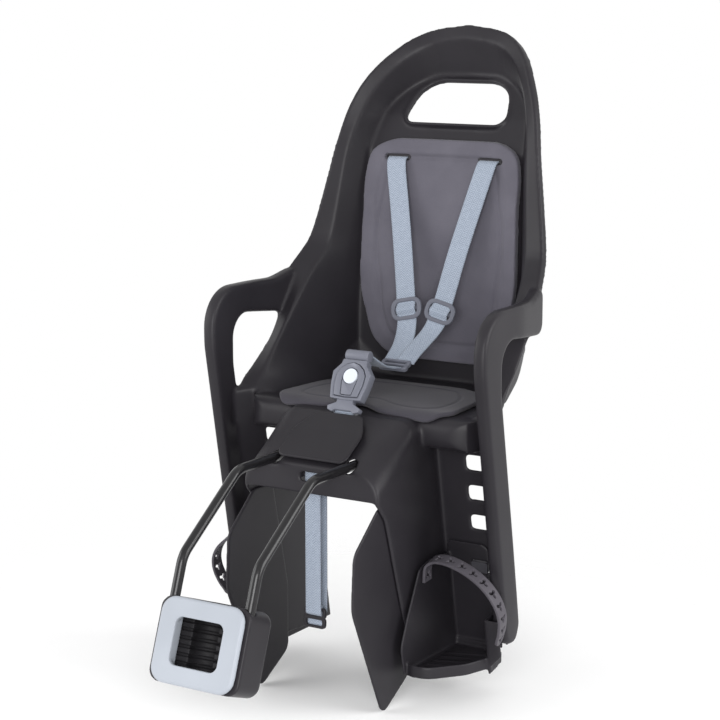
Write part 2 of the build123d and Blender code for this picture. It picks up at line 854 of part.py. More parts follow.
# Rubber jaw behind the seat tube, ribbed across it
with BuildPart() as clamp_liner:
    with BuildSketch(Plane(origin=tube_axis * -liner_half_h, x_dir=(1, 0, 0), z_dir=tube_axis)):
        with Locations((0, -(liner_flat + liner_back) / 2)):
            Rectangle(2 * liner_half_w, liner_flat - liner_back)
        Circle(seat_tube_r, mode=Mode.SUBTRACT)
        with Locations((0, -liner_flat)):
            Rectangle(2 * seat_tube_r, 2 * liner_flat, mode=Mode.SUBTRACT)
    extrude(amount=2 * liner_half_h)
    for i in range(rib_count):
        rib_u = (i - (rib_count - 1) / 2) * rib_pitch - rib_gap / 2
        with BuildSketch(Plane(origin=tube_axis * rib_u, x_dir=(1, 0, 0), z_dir=tube_axis)):
            Circle(jaw_r)
            with Locations((0, -liner_flat)):
                Rectangle(2 * jaw_r, 2 * liner_flat)
            with Locations((0, -jaw_flat - liner_flat)):
                Rectangle(2 * liner_half_w + 2, 2 * liner_flat)
        extrude(amount=rib_gap, mode=Mode.SUBTRACT)

with BuildPart() as clamp_bolts:
    with BuildSketch(block_face(block_back + bolt_head_h)):
        with Locations(*bolt_spots):
            Circle(bolt_head_r)
    extrude(amount=-bolt_head_h)
    with BuildSketch(block_face(block_back + 2)):
        with Locations(*bolt_spots):
            Circle(bolt_r)
    extrude(amount=bolt_end - block_back - 2)
    with BuildSketch(block_face(block_back)):
        with Locations(*bolt_spots):
            RegularPolygon(2.9, 6)
    extrude(amount=3, mode=Mode.SUBTRACT)

with BuildPart() as release_button:
    with BuildSketch(block_face(hump_back - button_proud)):
        RectangleRounded(2 * button_half_w, 2 * button_half_h, 4)
    extrude(amount=button_thick)
    fillet(
        release_button.faces().sort_by(Axis(origin=(0, 0, 0), direction=tube_front))[0].edges(), radius=1.5
    )


def ribbon(points, width, thick, across, shift=Vector(0, 0, 0)):
    """Sections of a flat strap along points from the seat datum, its width as near as can be to across."""
    spots = [seat_datum + shift + Vector(*p) for p in points]
    faces = []
    for i, spot in enumerate(spots):
        run = spots[min(i + 1, len(spots) - 1)] - spots[max(i - 1, 0)]
        wide = across - run.normalized() * across.dot(run.normalized())
        faces.append(Plane(origin=spot, x_dir=wide, z_dir=run) * Rectangle(width, thick))
    return faces


level_across = Vector(1, 0, 0)
left_sections = ribbon(strap_path, webbing_w, webbing_t, level_across)
right_path = [(-x, y, z) for x, y, z in strap_path]
# The right strap lies under the left one where they meet
for i, (back, down) in zip((-3, -2, -1), ((1, 1), (0.5, 1), (0, 1.4))):
    x, y, z = right_path[i]
    right_path[i] = (x, y + back * strap_ply, z - down * strap_ply)
right_sections = ribbon(right_path, webbing_w, webbing_t, level_across)
joiner_sections = ribbon(joiner_path, webbing_w, webbing_t, level_across)
crotch_sections = ribbon(crotch_path, webbing_w, webbing_t, level_across)

with BuildPart() as shoulder_strap_left:
    loft(sections=left_sections, ruled=True)

with BuildPart() as shoulder_strap_right:
    loft(sections=right_sections, ruled=True)

with BuildPart() as joiner_strap:
    loft(sections=joiner_sections, ruled=True)

with BuildPart() as crotch_strap:
    loft(sections=crotch_sections, ruled=True)

# Bars that hold the strap ends behind the back and under the pommel
with BuildPart() as strap_anchors:
    with Locations(
        seat_datum + Vector(-slot_x, strap_path[0][1] + anchor_gap + anchor_size[1] / 2, slot_z),
        seat_datum + Vector(slot_x, strap_path[0][1] + anchor_gap + anchor_size[1] / 2, slot_z),
        seat_datum + Vector(0, crotch_slot_y, crotch_path[-1][2] - anchor_gap - anchor_size[2] / 2),
    ):
        Box(*anchor_size)

slider_spot = seat_datum + Vector(*strap_path[-5])
slider_run = Vector(*strap_path[-6]) - Vector(*strap_path[-4])
slider_wide = level_across - slider_run.normalized() * level_across.dot(slider_run.normalized())
slider_plane = Plane(origin=slider_spot, x_dir=slider_wide, z_dir=slider_wide.cross(slider_run))
with BuildPart() as strap_slider_left:
    with BuildSketch(slider_plane.offset(slider_lift)):
        RectangleRounded(slider_size[0], slider_size[1], 10)
        RectangleRounded(slider_window[0], slider_window[1], 3, mode=Mode.SUBTRACT)
    extrude(amount=slider_size[2])
    with BuildSketch(slider_plane.offset(-slider_lift - slider_size[2])):
        Rectangle(slider_window[0] + 2 * slider_post, slider_bar)
    extrude(amount=slider_size[2])
    with BuildSketch(slider_plane.offset(-slider_lift - slider_size[2])):
        with Locations(
            (-(slider_window[0] + slider_post) / 2, 0), ((slider_window[0] + slider_post) / 2, 0)
        ):
            Rectangle(slider_post, slider_bar)
    extrude(amount=2 * slider_lift + 2 * slider_size[2])

with BuildPart() as strap_slider_right:
    mirror(strap_slider_left.part, about=Plane.YZ)

with BuildPart() as strap_joiner:
    with Locations(seat_datum + joiner_middle):
        Box(*joiner_size)
    fillet(strap_joiner.edges().filter_by(Axis.X), radius=2.5)

buckle_plane = Plane(
    origin=seat_datum + buckle_middle, x_dir=(1, 0, 0), z_dir=Vector(1, 0, 0).cross(buckle_up)
)
with BuildPart() as buckle_body:
    with BuildSketch(buckle_plane.offset(-buckle_thick / 2)):
        with BuildLine():
            FilletPolyline(
                *both_sides(buckle_outline), radius=both_radii(buckle_outline, buckle_radii), close=True
            )
        make_face()
    extrude(amount=buckle_thick)
    fillet(buckle_body.faces().sort_by(Axis(origin=(0, 0, 0), direction=buckle_plane.z_dir))[-1].edges(), radius=4)
    with BuildSketch(buckle_plane.offset(buckle_thick / 2)):
        Circle(buckle_button_r + buckle_button_gap)
    extrude(amount=-buckle_button_deep, mode=Mode.SUBTRACT)

with BuildPart() as buckle_button:
    with BuildSketch(buckle_plane.offset(buckle_thick / 2 + 0.8)):
        Circle(buckle_button_r)
    extrude(amount=-buckle_button_thick + 1)
    fillet(
        buckle_button.faces().sort_by(Axis(origin=(0, 0, 0), direction=buckle_plane.z_dir))[-1].edges(),
        radius=1,
    )

tether_mid = (tether_top + tether_bottom) / 2
with BuildPart() as safety_strap:
    with BuildSketch(side(-tether_w / 2)):
        with Locations((tether_y, tether_mid)):
            SlotOverall(tether_top - tether_bottom, tether_loop, rotation=90)
            SlotOverall(
                tether_top - tether_bottom - 2 * tether_t,
                tether_loop - 2 * tether_t,
                rotation=90,
                mode=Mode.SUBTRACT,
            )
    extrude(amount=tether_w)

# Ladder lock: the loop's lower turn passes round its top bar
with BuildPart() as safety_strap_buckle:
    with BuildSketch(front(tether_y - tether_lock_thick / 2)):
        with Locations((0, tether_bottom - 3)):
            RectangleRounded(tether_lock_w, 24, 3)
        with Locations((0, tether_bottom - 2)):
            Rectangle(tether_w + 1.5, 8, mode=Mode.SUBTRACT)
        with Locations((0, tether_bottom - 10.5)):
            Rectangle(tether_w + 1.5, 3.5, mode=Mode.SUBTRACT)
    extrude(amount=-tether_lock_thick)

catch_spot = (leg_window_x, -leg_window_first - catch_slot * leg_window_pitch)
strut_d = (leg_back(0) - strut_front(0)) * math.cos(math.radians(leg_lean))
# Foot tray: back, cheek beside the wheel guard, sole with a rim, wing that wraps the strut
with BuildPart() as footrest_left:
    with BuildSketch(leg_face.offset(foot_gap)):
        with BuildLine():
            FilletPolyline(
                (foot_inner, -foot_back_top),
                (foot_back_outer, -foot_back_top),
                (foot_back_outer, -foot_back_end),
                (foot_inner, -foot_back_end),
                radius=[6, 10, 0, 0],
                close=True,
            )
        make_face()
    extrude(amount=foot_wall)
    with BuildSketch(side(foot_inner)):
        with BuildLine():
            FilletPolyline(*foot_cheek, radius=foot_cheek_radii, close=True)
        make_face()
    extrude(amount=foot_wall)
    with BuildSketch(level(sole_z)):
        with BuildLine():
            FilletPolyline(*sole_outline, radius=sole_radii, close=True)
        make_face()
    extrude(amount=sole_thick)
    with BuildSketch(level(sole_z + sole_thick)):
        with BuildLine():
            FilletPolyline(*sole_outline, radius=sole_radii, close=True)
        make_face()
        offset(amount=-foot_wall, mode=Mode.SUBTRACT)
    extrude(amount=sole_rim)
    with BuildSketch(level(sole_z + sole_thick)):
        with Locations(ridge_middle):
            with GridLocations(0, ridge_pitch, 1, sole_ridges):
                Rectangle(ridge_l, ridge_w, rotation=ridge_slant)
    extrude(amount=ridge_h)
    with BuildSketch(across_leg(wing_top)):
        with BuildLine():
            Polyline(
                (wing_inner, strut_d - 14),
                (wing_inner, strut_d + strut_gap + foot_wall),
                (wing_outer, strut_d + strut_gap + foot_wall),
                (wing_outer, wing_depth_out),
                (wing_outer - foot_wall, wing_depth_out),
                (wing_outer - foot_wall, strut_d + strut_gap),
                (wing_inner + foot_wall, strut_d + strut_gap),
                (wing_inner + foot_wall, strut_d - 14),
                close=True,
            )
        make_face()
    extrude(amount=wing_end - wing_top)
    with BuildSketch(leg_face):
        with Locations(catch_spot):
            RectangleRounded(catch_w + 2 * catch_gap, catch_h + 2 * catch_gap, 2)
    extrude(amount=foot_gap + foot_wall + 1, mode=Mode.SUBTRACT)

strap_across = Vector(0, 1, 0.3)
foot_strap_sections = ribbon(foot_strap_path, foot_strap_w, foot_strap_t, strap_across)
with BuildPart() as foot_strap_left:
    loft(sections=foot_strap_sections, ruled=True)

# Catch of the foot tray, over a window of the calf plate
with BuildPart() as footrest_latch_left:
    with BuildSketch(leg_face.offset(foot_gap)):
        with Locations(catch_spot):
            RectangleRounded(catch_w, catch_h, 2)
    extrude(amount=foot_wall + catch_proud)

with BuildPart() as wheel_guard_left:
    with BuildSketch(side(leg_inner - guard_gap)):
        with BuildLine():
            FilletPolyline(*guard_outline, radius=guard_radii, close=True)
        make_face()
    extrude(amount=-guard_thick)

with BuildPart() as footrest_right:
    mirror(footrest_left.part, about=Plane.YZ)

with BuildPart() as foot_strap_right:
    mirror(foot_strap_left.part, about=Plane.YZ)

with BuildPart() as footrest_latch_right:
    mirror(footrest_latch_left.part, about=Plane.YZ)

with BuildPart() as wheel_guard_right:
    mirror(wheel_guard_left.part, about=Plane.YZ)

nodes = {
    "seat_shell": seat_shell,
    "back_pad": back_pad,
    "seat_pad": seat_pad,
    "pommel_cover": pommel_cover,
    "holding_bar": holding_bar,
    "bar_bracket": bar_bracket,
    "bracket_screws": bracket_screws,
    "block_housing": block_housing,
    "block_front_plate": block_front_plate,
    "clamp_liner": clamp_liner,
    "clamp_bolts": clamp_bolts,
    "release_button": release_button,
    "shoulder_strap_left": shoulder_strap_left,
    "shoulder_strap_right": shoulder_strap_right,
    "strap_anchors": strap_anchors,
    "strap_slider_left": strap_slider_left,
    "strap_slider_right": strap_slider_right,
    "strap_joiner": strap_joiner,
    "joiner_strap": joiner_strap,
    "buckle_body": buckle_body,
    "buckle_button": buckle_button,
    "crotch_strap": crotch_strap,
    "safety_strap": safety_strap,
    "safety_strap_buckle": safety_strap_buckle,
    "footrest_left": footrest_left,
    "footrest_right": footrest_right,
    "foot_strap_left": foot_strap_left,
    "foot_strap_right": foot_strap_right,
    "footrest_latch_left": footrest_latch_left,
    "footrest_latch_right": footrest_latch_right,
    "wheel_guard_left": wheel_guard_left,
    "wheel_guard_right": wheel_guard_right,
}
for name, node in nodes.items():
    node.part.label = name
    export_step(node.part, f"parts/{name}.step")
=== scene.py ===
import math

import bmesh
import bpy
from mathutils import Matrix, Vector


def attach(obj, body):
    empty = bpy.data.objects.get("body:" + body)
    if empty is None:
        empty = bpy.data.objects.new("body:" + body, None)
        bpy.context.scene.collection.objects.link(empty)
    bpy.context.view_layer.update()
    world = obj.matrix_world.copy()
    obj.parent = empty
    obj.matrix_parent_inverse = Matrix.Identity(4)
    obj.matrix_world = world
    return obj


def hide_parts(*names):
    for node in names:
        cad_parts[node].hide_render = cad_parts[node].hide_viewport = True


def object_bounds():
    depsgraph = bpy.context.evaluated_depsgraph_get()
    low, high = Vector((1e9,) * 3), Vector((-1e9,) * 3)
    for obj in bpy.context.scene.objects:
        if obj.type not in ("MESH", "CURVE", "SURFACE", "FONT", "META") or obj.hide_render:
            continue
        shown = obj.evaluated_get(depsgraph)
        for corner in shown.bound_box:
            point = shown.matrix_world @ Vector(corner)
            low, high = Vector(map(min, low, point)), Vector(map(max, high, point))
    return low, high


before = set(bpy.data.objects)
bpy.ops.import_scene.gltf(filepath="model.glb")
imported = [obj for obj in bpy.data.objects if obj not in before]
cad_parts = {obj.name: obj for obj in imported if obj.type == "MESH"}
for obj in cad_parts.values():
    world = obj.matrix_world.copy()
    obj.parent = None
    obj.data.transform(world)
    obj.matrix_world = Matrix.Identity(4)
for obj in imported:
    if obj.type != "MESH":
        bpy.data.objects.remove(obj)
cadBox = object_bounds()
seatDatum = Vector((0, 0.329, 0.205))  # middle of the seat pad's top, as in the part's source
mm = 0.001
mergeDistance = 1e-5  # metres, for the loose triangles of a CAD mesh


def spot(x, y, z):  # a point in millimetres from the seat datum
    return seatDatum + Vector((x, y, z)) * mm


# camera at the photograph's angle

cameraView = {"azimuth": 32, "elevation": 10.5, "lens": 100, "distance": 2.2989, "right": -15, "up": 37}


def placeCamera(view):
    turn = math.radians(view["azimuth"])
    rise = math.radians(view["elevation"])
    back = Vector((math.sin(turn) * math.cos(rise), -math.cos(turn) * math.cos(rise), math.sin(rise)))
    right = Vector((math.cos(turn), math.sin(turn), 0))
    up = back.cross(right)
    pixel = view["distance"] / 2000  # one picture pixel at the seat, in metres
    camera = bpy.data.objects.new("camera", bpy.data.cameras.new("camera"))
    bpy.context.scene.collection.objects.link(camera)
    camera.data.lens = view["lens"]
    camera.data.sensor_width = 36
    camera.location = seatDatum + back * view["distance"] + right * pixel * view["right"] + up * pixel * view["up"]
    camera.rotation_mode = "QUATERNION"
    camera.rotation_quaternion = (-back).to_track_quat("-Z", "Y")
    bpy.context.scene.camera = camera


placeCamera(cameraView)
print("camera placed")


# materials

def linear(hexText):
    parts = [int(hexText[i:i + 2], 16) / 255 for i in (1, 3, 5)]
    return [c / 12.92 if c <= 0.04045 else ((c + 0.055) / 1.055) ** 2.4 for c in parts] + [1.0]


def addNode(tree, kind, settings=None, links=None):
    node = tree.nodes.new(kind)
    for key, value in (settings or {}).items():
        if isinstance(key, int) or key in node.inputs:
            node.inputs[key].default_value = value
        else:
            setattr(node, key, value)
    for key, source in (links or {}).items():
        tree.links.new(source, node.inputs[key])
    return node


def newMaterial(name, roughness, metallic=0.0, ior=1.5):
    look = bpy.data.materials.new(name)
    look.use_nodes = True
    tree = look.node_tree
    shader = tree.nodes["Principled BSDF"]
    shader.inputs["Roughness"].default_value = roughness
    shader.inputs["Metallic"].default_value = metallic
    shader.inputs["IOR"].default_value = ior
    shader.inputs["Specular IOR Level"].default_value = 0.22
    return look, tree, shader


def ramp(tree, factor, low, high, lowHex, highHex):
    node = addNode(tree, "ShaderNodeValToRGB", links={"Fac": factor})
    node.color_ramp.elements[0].position = low
    node.color_ramp.elements[1].position = high
    node.color_ramp.elements[0].color = linear(lowHex)
    node.color_ramp.elements[1].color = linear(highHex)
    return node


def moulded(name, look):  # injection moulded plastic: one even colour, fine spark-eroded grain, a painted highlight on sharp edges
    material, tree, shader = newMaterial(name, look["roughness"], ior=1.49)
    place = addNode(tree, "ShaderNodeTexCoord").outputs["Object"]
    flow = addNode(tree, "ShaderNodeTexNoise", {"Scale": 1 / 0.12, "Detail": 3.0}, {"Vector": place})
    body = ramp(tree, flow.outputs["Fac"], 0.35, 0.7, look["dark"], look["light"])
    # painted highlight: sharp convex edges, found by pointiness, take the lighter edge colour as if light caught them
    edgeHighlight = addNode(tree, "ShaderNodeNewGeometry")
    highlightMask = ramp(tree, edgeHighlight.outputs["Pointiness"], 0.53, 0.6, "#000000", "#ffffff")
    share = addNode(tree, "ShaderNodeMath", {"operation": "MULTIPLY", 1: look["edgeHighlight"]}, {0: highlightMask.outputs["Color"]})
    colour = addNode(tree, "ShaderNodeMix", {"data_type": "RGBA"}, {"Factor": share.outputs[0]})
    tree.links.new(body.outputs["Color"], colour.inputs["A"])
    colour.inputs["B"].default_value = linear(look["edge"])
    tree.links.new(colour.outputs["Result"], shader.inputs["Base Color"])
    grain = addNode(tree, "ShaderNodeTexNoise", {"Scale": 1 / (look["grain"] * mm), "Detail": 2.0}, {"Vector": place})
    matt = {"To Min": look["roughness"] - 0.06, "To Max": look["roughness"] + 0.08}
    gloss = addNode(tree, "ShaderNodeMapRange", matt)
    tree.links.new(grain.outputs["Fac"], gloss.inputs["Value"])
    tree.links.new(gloss.outputs["Result"], shader.inputs["Roughness"])
    depth = {"Strength": look["relief"], "Distance": 0.0002}
    bump = addNode(tree, "ShaderNodeBump", depth, {"Height": grain.outputs["Fac"]})
    tree.links.new(bump.outputs["Normal"], shader.inputs["Normal"])
    return material


def foam(name, look):  # closed-cell EVA foam with a brushed cloth face: dull, with a soft bloom
    material, tree, shader = newMaterial(name, 0.85)
    shader.inputs["Sheen Weight"].default_value = look["sheen"]
    shader.inputs["Sheen Roughness"].default_value = 0.5
    place = addNode(tree, "ShaderNodeTexCoord").outputs["Object"]
    cloud = addNode(tree, "ShaderNodeTexNoise", {"Scale": 1 / 0.05, "Detail": 4.0}, {"Vector": place})
    colour = ramp(tree, cloud.outputs["Fac"], 0.3, 0.72, look["dark"], look["light"])
    tree.links.new(colour.outputs["Color"], shader.inputs["Base Color"])
    # the foam's 0.5 mm cells, drawn at 1.4 mm to show
    cell = addNode(tree, "ShaderNodeTexVoronoi", {"Scale": 1 / (1.4 * mm)}, {"Vector": place})
    nap = addNode(tree, "ShaderNodeTexNoise", {"Scale": 1 / (0.8 * mm), "Detail": 3.0}, {"Vector": place})
    mix = addNode(tree, "ShaderNodeMath", {"operation": "ADD"}, {0: cell.outputs["Distance"], 1: nap.outputs["Fac"]})
    bump = addNode(tree, "ShaderNodeBump", {"Strength": 0.35, "Distance": 0.0003}, {"Height": mix.outputs[0]})
    tree.links.new(bump.outputs["Normal"], shader.inputs["Normal"])
    return material


def webbingLook(name, look):  # woven polyester webbing: fine cross ribs in a herringbone, firmer selvedges
    material, tree, shader = newMaterial(name, 0.72)
    shader.inputs["Sheen Weight"].default_value = 0.15
    shader.inputs["Sheen Roughness"].default_value = 0.4
    uv = addNode(tree, "ShaderNodeUVMap", {"uv_map": "strip"}).outputs["UV"]
    parts = addNode(tree, "ShaderNodeSeparateXYZ", links={"Vector": uv})
    fold = addNode(tree, "ShaderNodeMath", {"operation": "PINGPONG", 1: look["panel"] * mm}, {0: parts.outputs["Y"]})
    slant = addNode(tree, "ShaderNodeMath", {"operation": "ADD"}, {0: parts.outputs["X"], 1: fold.outputs[0]})
    perMetre = 2 * math.pi / (look["rib"] * mm)
    turns = addNode(tree, "ShaderNodeMath", {"operation": "MULTIPLY", 1: perMetre}, {0: slant.outputs[0]})
    rib = addNode(tree, "ShaderNodeMath", {"operation": "SINE"}, {0: turns.outputs[0]})
    half = addNode(tree, "ShaderNodeMapRange", {"From Min": -1.0, "From Max": 1.0}, {"Value": rib.outputs[0]})
    fuzz = addNode(tree, "ShaderNodeTexNoise", {"Scale": 1 / 0.004, "Detail": 2.0}, {"Vector": uv})
    shade = addNode(tree, "ShaderNodeMath", {"operation": "MULTIPLY_ADD", 1: 0.55}, {0: half.outputs["Result"]})
    part = addNode(tree, "ShaderNodeMath", {"operation": "MULTIPLY", 1: 0.5}, {0: fuzz.outputs["Fac"]})
    tree.links.new(part.outputs[0], shade.inputs[2])
    # painted shade: the grooves between ribs darker and the rib crests lighter; the fuzz adds a random tone
    colour = ramp(tree, shade.outputs[0], 0.15, 0.85, look["dark"], look["light"])
    tree.links.new(colour.outputs["Color"], shader.inputs["Base Color"])
    bump = addNode(tree, "ShaderNodeBump", {"Strength": 0.6, "Distance": 0.0004}, {"Height": half.outputs["Result"]})
    tree.links.new(bump.outputs["Normal"], shader.inputs["Normal"])
    return material


def metal(name, look):  # drawn or plated steel: even sheen with fine marks
    material, tree, shader = newMaterial(name, look["roughness"], metallic=look["metallic"])
    shader.inputs["Coat Weight"].default_value = look["coat"]
    shader.inputs["Coat Roughness"].default_value = 0.12
    place = addNode(tree, "ShaderNodeTexCoord").outputs["Object"]
    marks = addNode(tree, "ShaderNodeTexNoise", {"Scale": 1 / (look["mark"] * mm), "Detail": 3.0}, {"Vector": place})
    colour = ramp(tree, marks.outputs["Fac"], 0.3, 0.7, look["dark"], look["light"])
    tree.links.new(colour.outputs["Color"], shader.inputs["Base Color"])
    matt = {"To Min": look["roughness"] - 0.05, "To Max": look["roughness"] + 0.07}
    gloss = addNode(tree, "ShaderNodeMapRange", matt)
    tree.links.new(marks.outputs["Fac"], gloss.inputs["Value"])
    tree.links.new(gloss.outputs["Result"], shader.inputs["Roughness"])
    bump = addNode(tree, "ShaderNodeBump", {"Strength": 0.15, "Distance": 0.0001}, {"Height": marks.outputs["Fac"]})
    tree.links.new(bump.outputs["Normal"], shader.inputs["Normal"])
    return material


# edge: the colour of the painted highlight on sharp edges; edgeHighlight: how much of it is mixed in
shellLook = {
    "dark": "#201e22", "light": "#272529", "edge": "#49464c",
    "roughness": 0.42, "grain": 0.9, "relief": 0.25, "edgeHighlight": 0.45,
}
coverLook = {
    "dark": "#1b191d", "light": "#211f23", "edge": "#47444a",
    "roughness": 0.4, "grain": 0.9, "relief": 0.25, "edgeHighlight": 0.4,
}
blockLook = {
    "dark": "#1f1d21", "light": "#262428", "edge": "#48464c",
    "roughness": 0.36, "grain": 0.8, "relief": 0.2, "edgeHighlight": 0.5,
}
plateLook = {
    "dark": "#989da5", "light": "#a2a7af", "edge": "#d0d4da",
    "roughness": 0.38, "grain": 0.8, "relief": 0.12, "edgeHighlight": 0.3,
}
tabLook = {
    "dark": "#2c2b2f", "light": "#343337", "edge": "#55545a",
    "roughness": 0.38, "grain": 0.8, "relief": 0.15, "edgeHighlight": 0.4,
}
clipLook = {
    "dark": "#5a5c66", "light": "#646670", "edge": "#8a8c96",
    "roughness": 0.36, "grain": 0.7, "relief": 0.15, "edgeHighlight": 0.5,
}
buckleLook = {
    "dark": "#60626c", "light": "#6b6d77", "edge": "#9a9ca8",
    "roughness": 0.36, "grain": 0.7, "relief": 0.15, "edgeHighlight": 0.5,
}
buttonLook = {
    "dark": "#c2c7d1", "light": "#ccd1da", "edge": "#dde1e8",
    "roughness": 0.28, "grain": 0.6, "relief": 0.06, "edgeHighlight": 0.2,
}
rubberLook = {
    "dark": "#171618", "light": "#1e1d20", "edge": "#3c3b3f",
    "roughness": 0.62, "grain": 1.2, "relief": 0.3, "edgeHighlight": 0.6,
}
strapRubberLook = {
    "dark": "#454248", "light": "#4f4c52", "edge": "#6a676e",
    "roughness": 0.5, "grain": 1.0, "relief": 0.25, "edgeHighlight": 0.4,
}
webLook = {"dark": "#7a8391", "light": "#9ba4b2", "rib": 3.0, "panel": 4.2}  # 1 mm ribs, drawn at 3 mm to show
barLook = {"dark": "#121113", "light": "#181719", "roughness": 0.3, "metallic": 0.2, "coat": 0.4, "mark": 6}
zincLook = {"dark": "#9a9ca0", "light": "#b2b4b8", "roughness": 0.32, "metallic": 1.0, "coat": 0.0, "mark": 2}
looks = {
    "shell_plastic": moulded("polypropylene, grained moulding", shellLook),
    "cover_plastic": moulded("polypropylene, satin moulding", coverLook),
    "block_plastic": moulded("glass-filled nylon, moulded", blockLook),
    "plate_plastic": moulded("ABS, dark grey satin moulding", tabLook),
    "plate_metal": moulded("steel plate, silver grey satin paint", plateLook),  # paint: even colour, fine orange peel
    "harness_plastic": moulded("acetal, grey moulding", clipLook),
    "buckle_plastic": moulded("acetal, satin grey moulding", buckleLook),
    "button_plastic": moulded("ABS, pale gloss moulding", buttonLook),
    "foot_plastic": moulded("polypropylene, footrest moulding", shellLook),
    "liner_rubber": moulded("rubber, ribbed pressing", rubberLook),
    "strap_rubber": moulded("soft TPE, moulded strap", strapRubberLook),
    "back_foam": foam("EVA foam, pale pressed pad", {"dark": "#53515a", "light": "#5e5c65", "sheen": 0.12}),
    "seat_foam": foam("EVA foam, dark pressed pad", {"dark": "#37353c", "light": "#403e45", "sheen": 0.1}),
    "webbing": webbingLook("polyester webbing, woven", webLook),
    "bar_steel": metal("steel tube, dark gloss paint", barLook),
    "screw_steel": metal("steel, zinc plated", zincLook),
}
print("materials made", len(looks))


# shared steps for pieces

def newPiece(name, mesh, slotName, body, *nodes):
    piece = bpy.data.objects.new(name, mesh)
    bpy.context.scene.collection.objects.link(piece)
    mesh.materials.clear()
    mesh.materials.append(looks[slotName])
    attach(piece, body)
    if nodes:
        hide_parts(*nodes)
    return piece


def applied(piece, kind, **settings):  # runs one modifier and keeps its result as the piece's mesh
    step = piece.modifiers.new(kind.lower(), kind)
    for key, value in settings.items():
        setattr(step, key, value)
    graph = bpy.context.evaluated_depsgraph_get()
    old = piece.data
    mesh = bpy.data.meshes.new_from_object(piece.evaluated_get(graph))
    piece.modifiers.clear()
    piece.data = mesh
    bpy.data.meshes.remove(old)


def meshOf(shape, name):
    mesh = bpy.data.meshes.new(name)
    bmesh.ops.recalc_face_normals(shape, faces=shape.faces)
    shape.to_mesh(mesh)
    shape.free()
    for face in mesh.polygons:
        face.use_smooth = True
    return mesh


def lumps(name, groups):  # one mesh of closed convex lumps
    shape = bmesh.new()
    for points in groups:
        corners = [bmesh.ops.create_vert(shape, co=point)["vert"][0] for point in points]
        bmesh.ops.convex_hull(shape, input=corners)
    return meshOf(shape, name)


def boxAt(place, xs, ys, zs):  # the eight corners of a box, through a placing function
    return [place(x, y, z) for x in xs for y in ys for z in zs]


def bothSides(place, xs, ys, zs):
    return [boxAt(place, xs, ys, zs), boxAt(place, [-x for x in xs], ys, zs)]


def cutBy(piece, mesh):
    tool = bpy.data.objects.new("tool", mesh)
    bpy.context.scene.collection.objects.link(tool)
    applied(piece, "BOOLEAN", operation="DIFFERENCE", object=tool, solver="EXACT")
    bpy.data.objects.remove(tool)
    bpy.data.meshes.remove(mesh)


def dropSpecks(shape, least):  # takes away loose crumbs that the cuts leave
    seen = set()
    specks = []
    for start in shape.verts:
        if start in seen:
            continue
        seen.add(start)
        island = [start]
        for v in island:
            for edge in v.link_edges:
                other = edge.other_vert(v)
                if other not in seen:
                    seen.add(other)
                    island.append(other)
        if len(island) < least:
            specks += island
    bmesh.ops.delete(shape, geom=specks, context="VERTS")
    return len(specks)


crumbSize = 400  # vertices; anything loose and smaller is a leftover of a cut


def mouldedCopy(name, node, slotName, body, look, cuts=None, adds=None, pull=None):
    shape = bmesh.new()  # the CAD solid, to get a moulding's soft corners
    shape.from_mesh(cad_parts[node].data)
    bmesh.ops.remove_doubles(shape, verts=shape.verts, dist=mergeDistance)
    mesh = bpy.data.meshes.new(name)
    shape.to_mesh(mesh)
    shape.free()
    piece = newPiece(name, mesh, slotName, body, node)
    for group in cuts or []:
        cutBy(piece, lumps("cuts", group))
        print(name, "cut,", len(piece.data.polygons), "faces")
    if adds:
        extra = lumps("adds", adds)
        shape = bmesh.new()
        shape.from_mesh(piece.data)
        shape.from_mesh(extra)
        shape.to_mesh(piece.data)
        shape.free()
        bpy.data.meshes.remove(extra)
    applied(piece, "REMESH", mode="VOXEL", voxel_size=look["voxel"] * mm, use_smooth_shade=True)
    shape = bmesh.new()
    shape.from_mesh(piece.data)
    print(name, "specks taken away:", dropSpecks(shape, crumbSize))
    if pull:
        shape.normal_update()
        moves = [pull((v.co - seatDatum) / mm, v.normal) for v in shape.verts]
        for v, move in zip(shape.verts, moves):
            v.co += move * mm
    for i in range(look["rounds"]):
        bmesh.ops.smooth_vert(shape, verts=shape.verts, factor=0.5, use_axis_x=True, use_axis_y=True, use_axis_z=True)
    shape.to_mesh(piece.data)
    shape.free()
    triangles = 2 * len(piece.data.polygons)
    if triangles > look["triangles"]:
        applied(piece, "DECIMATE", ratio=look["triangles"] / triangles)
    for face in piece.data.polygons:
        face.use_smooth = True
    piece.data.materials.clear()
    piece.data.materials.append(looks[slotName])
    print(name, "moulded,", len(piece.data.polygons), "faces")
    return piece


# the mouldings

legLine = {"start": (0, -12, -42), "lean": math.radians(10.5)}


def legSpot(x, along, proud):  # a point on the leg: across, down its length, forward of its face
    down = Vector((0, math.sin(legLine["lean"]), -math.cos(legLine["lean"])))
    front = Vector((0, -math.cos(legLine["lean"]), -math.sin(legLine["lean"])))
    return spot(*legLine["start"]) + (Vector((x, 0, 0)) + down * along + front * proud) * mm


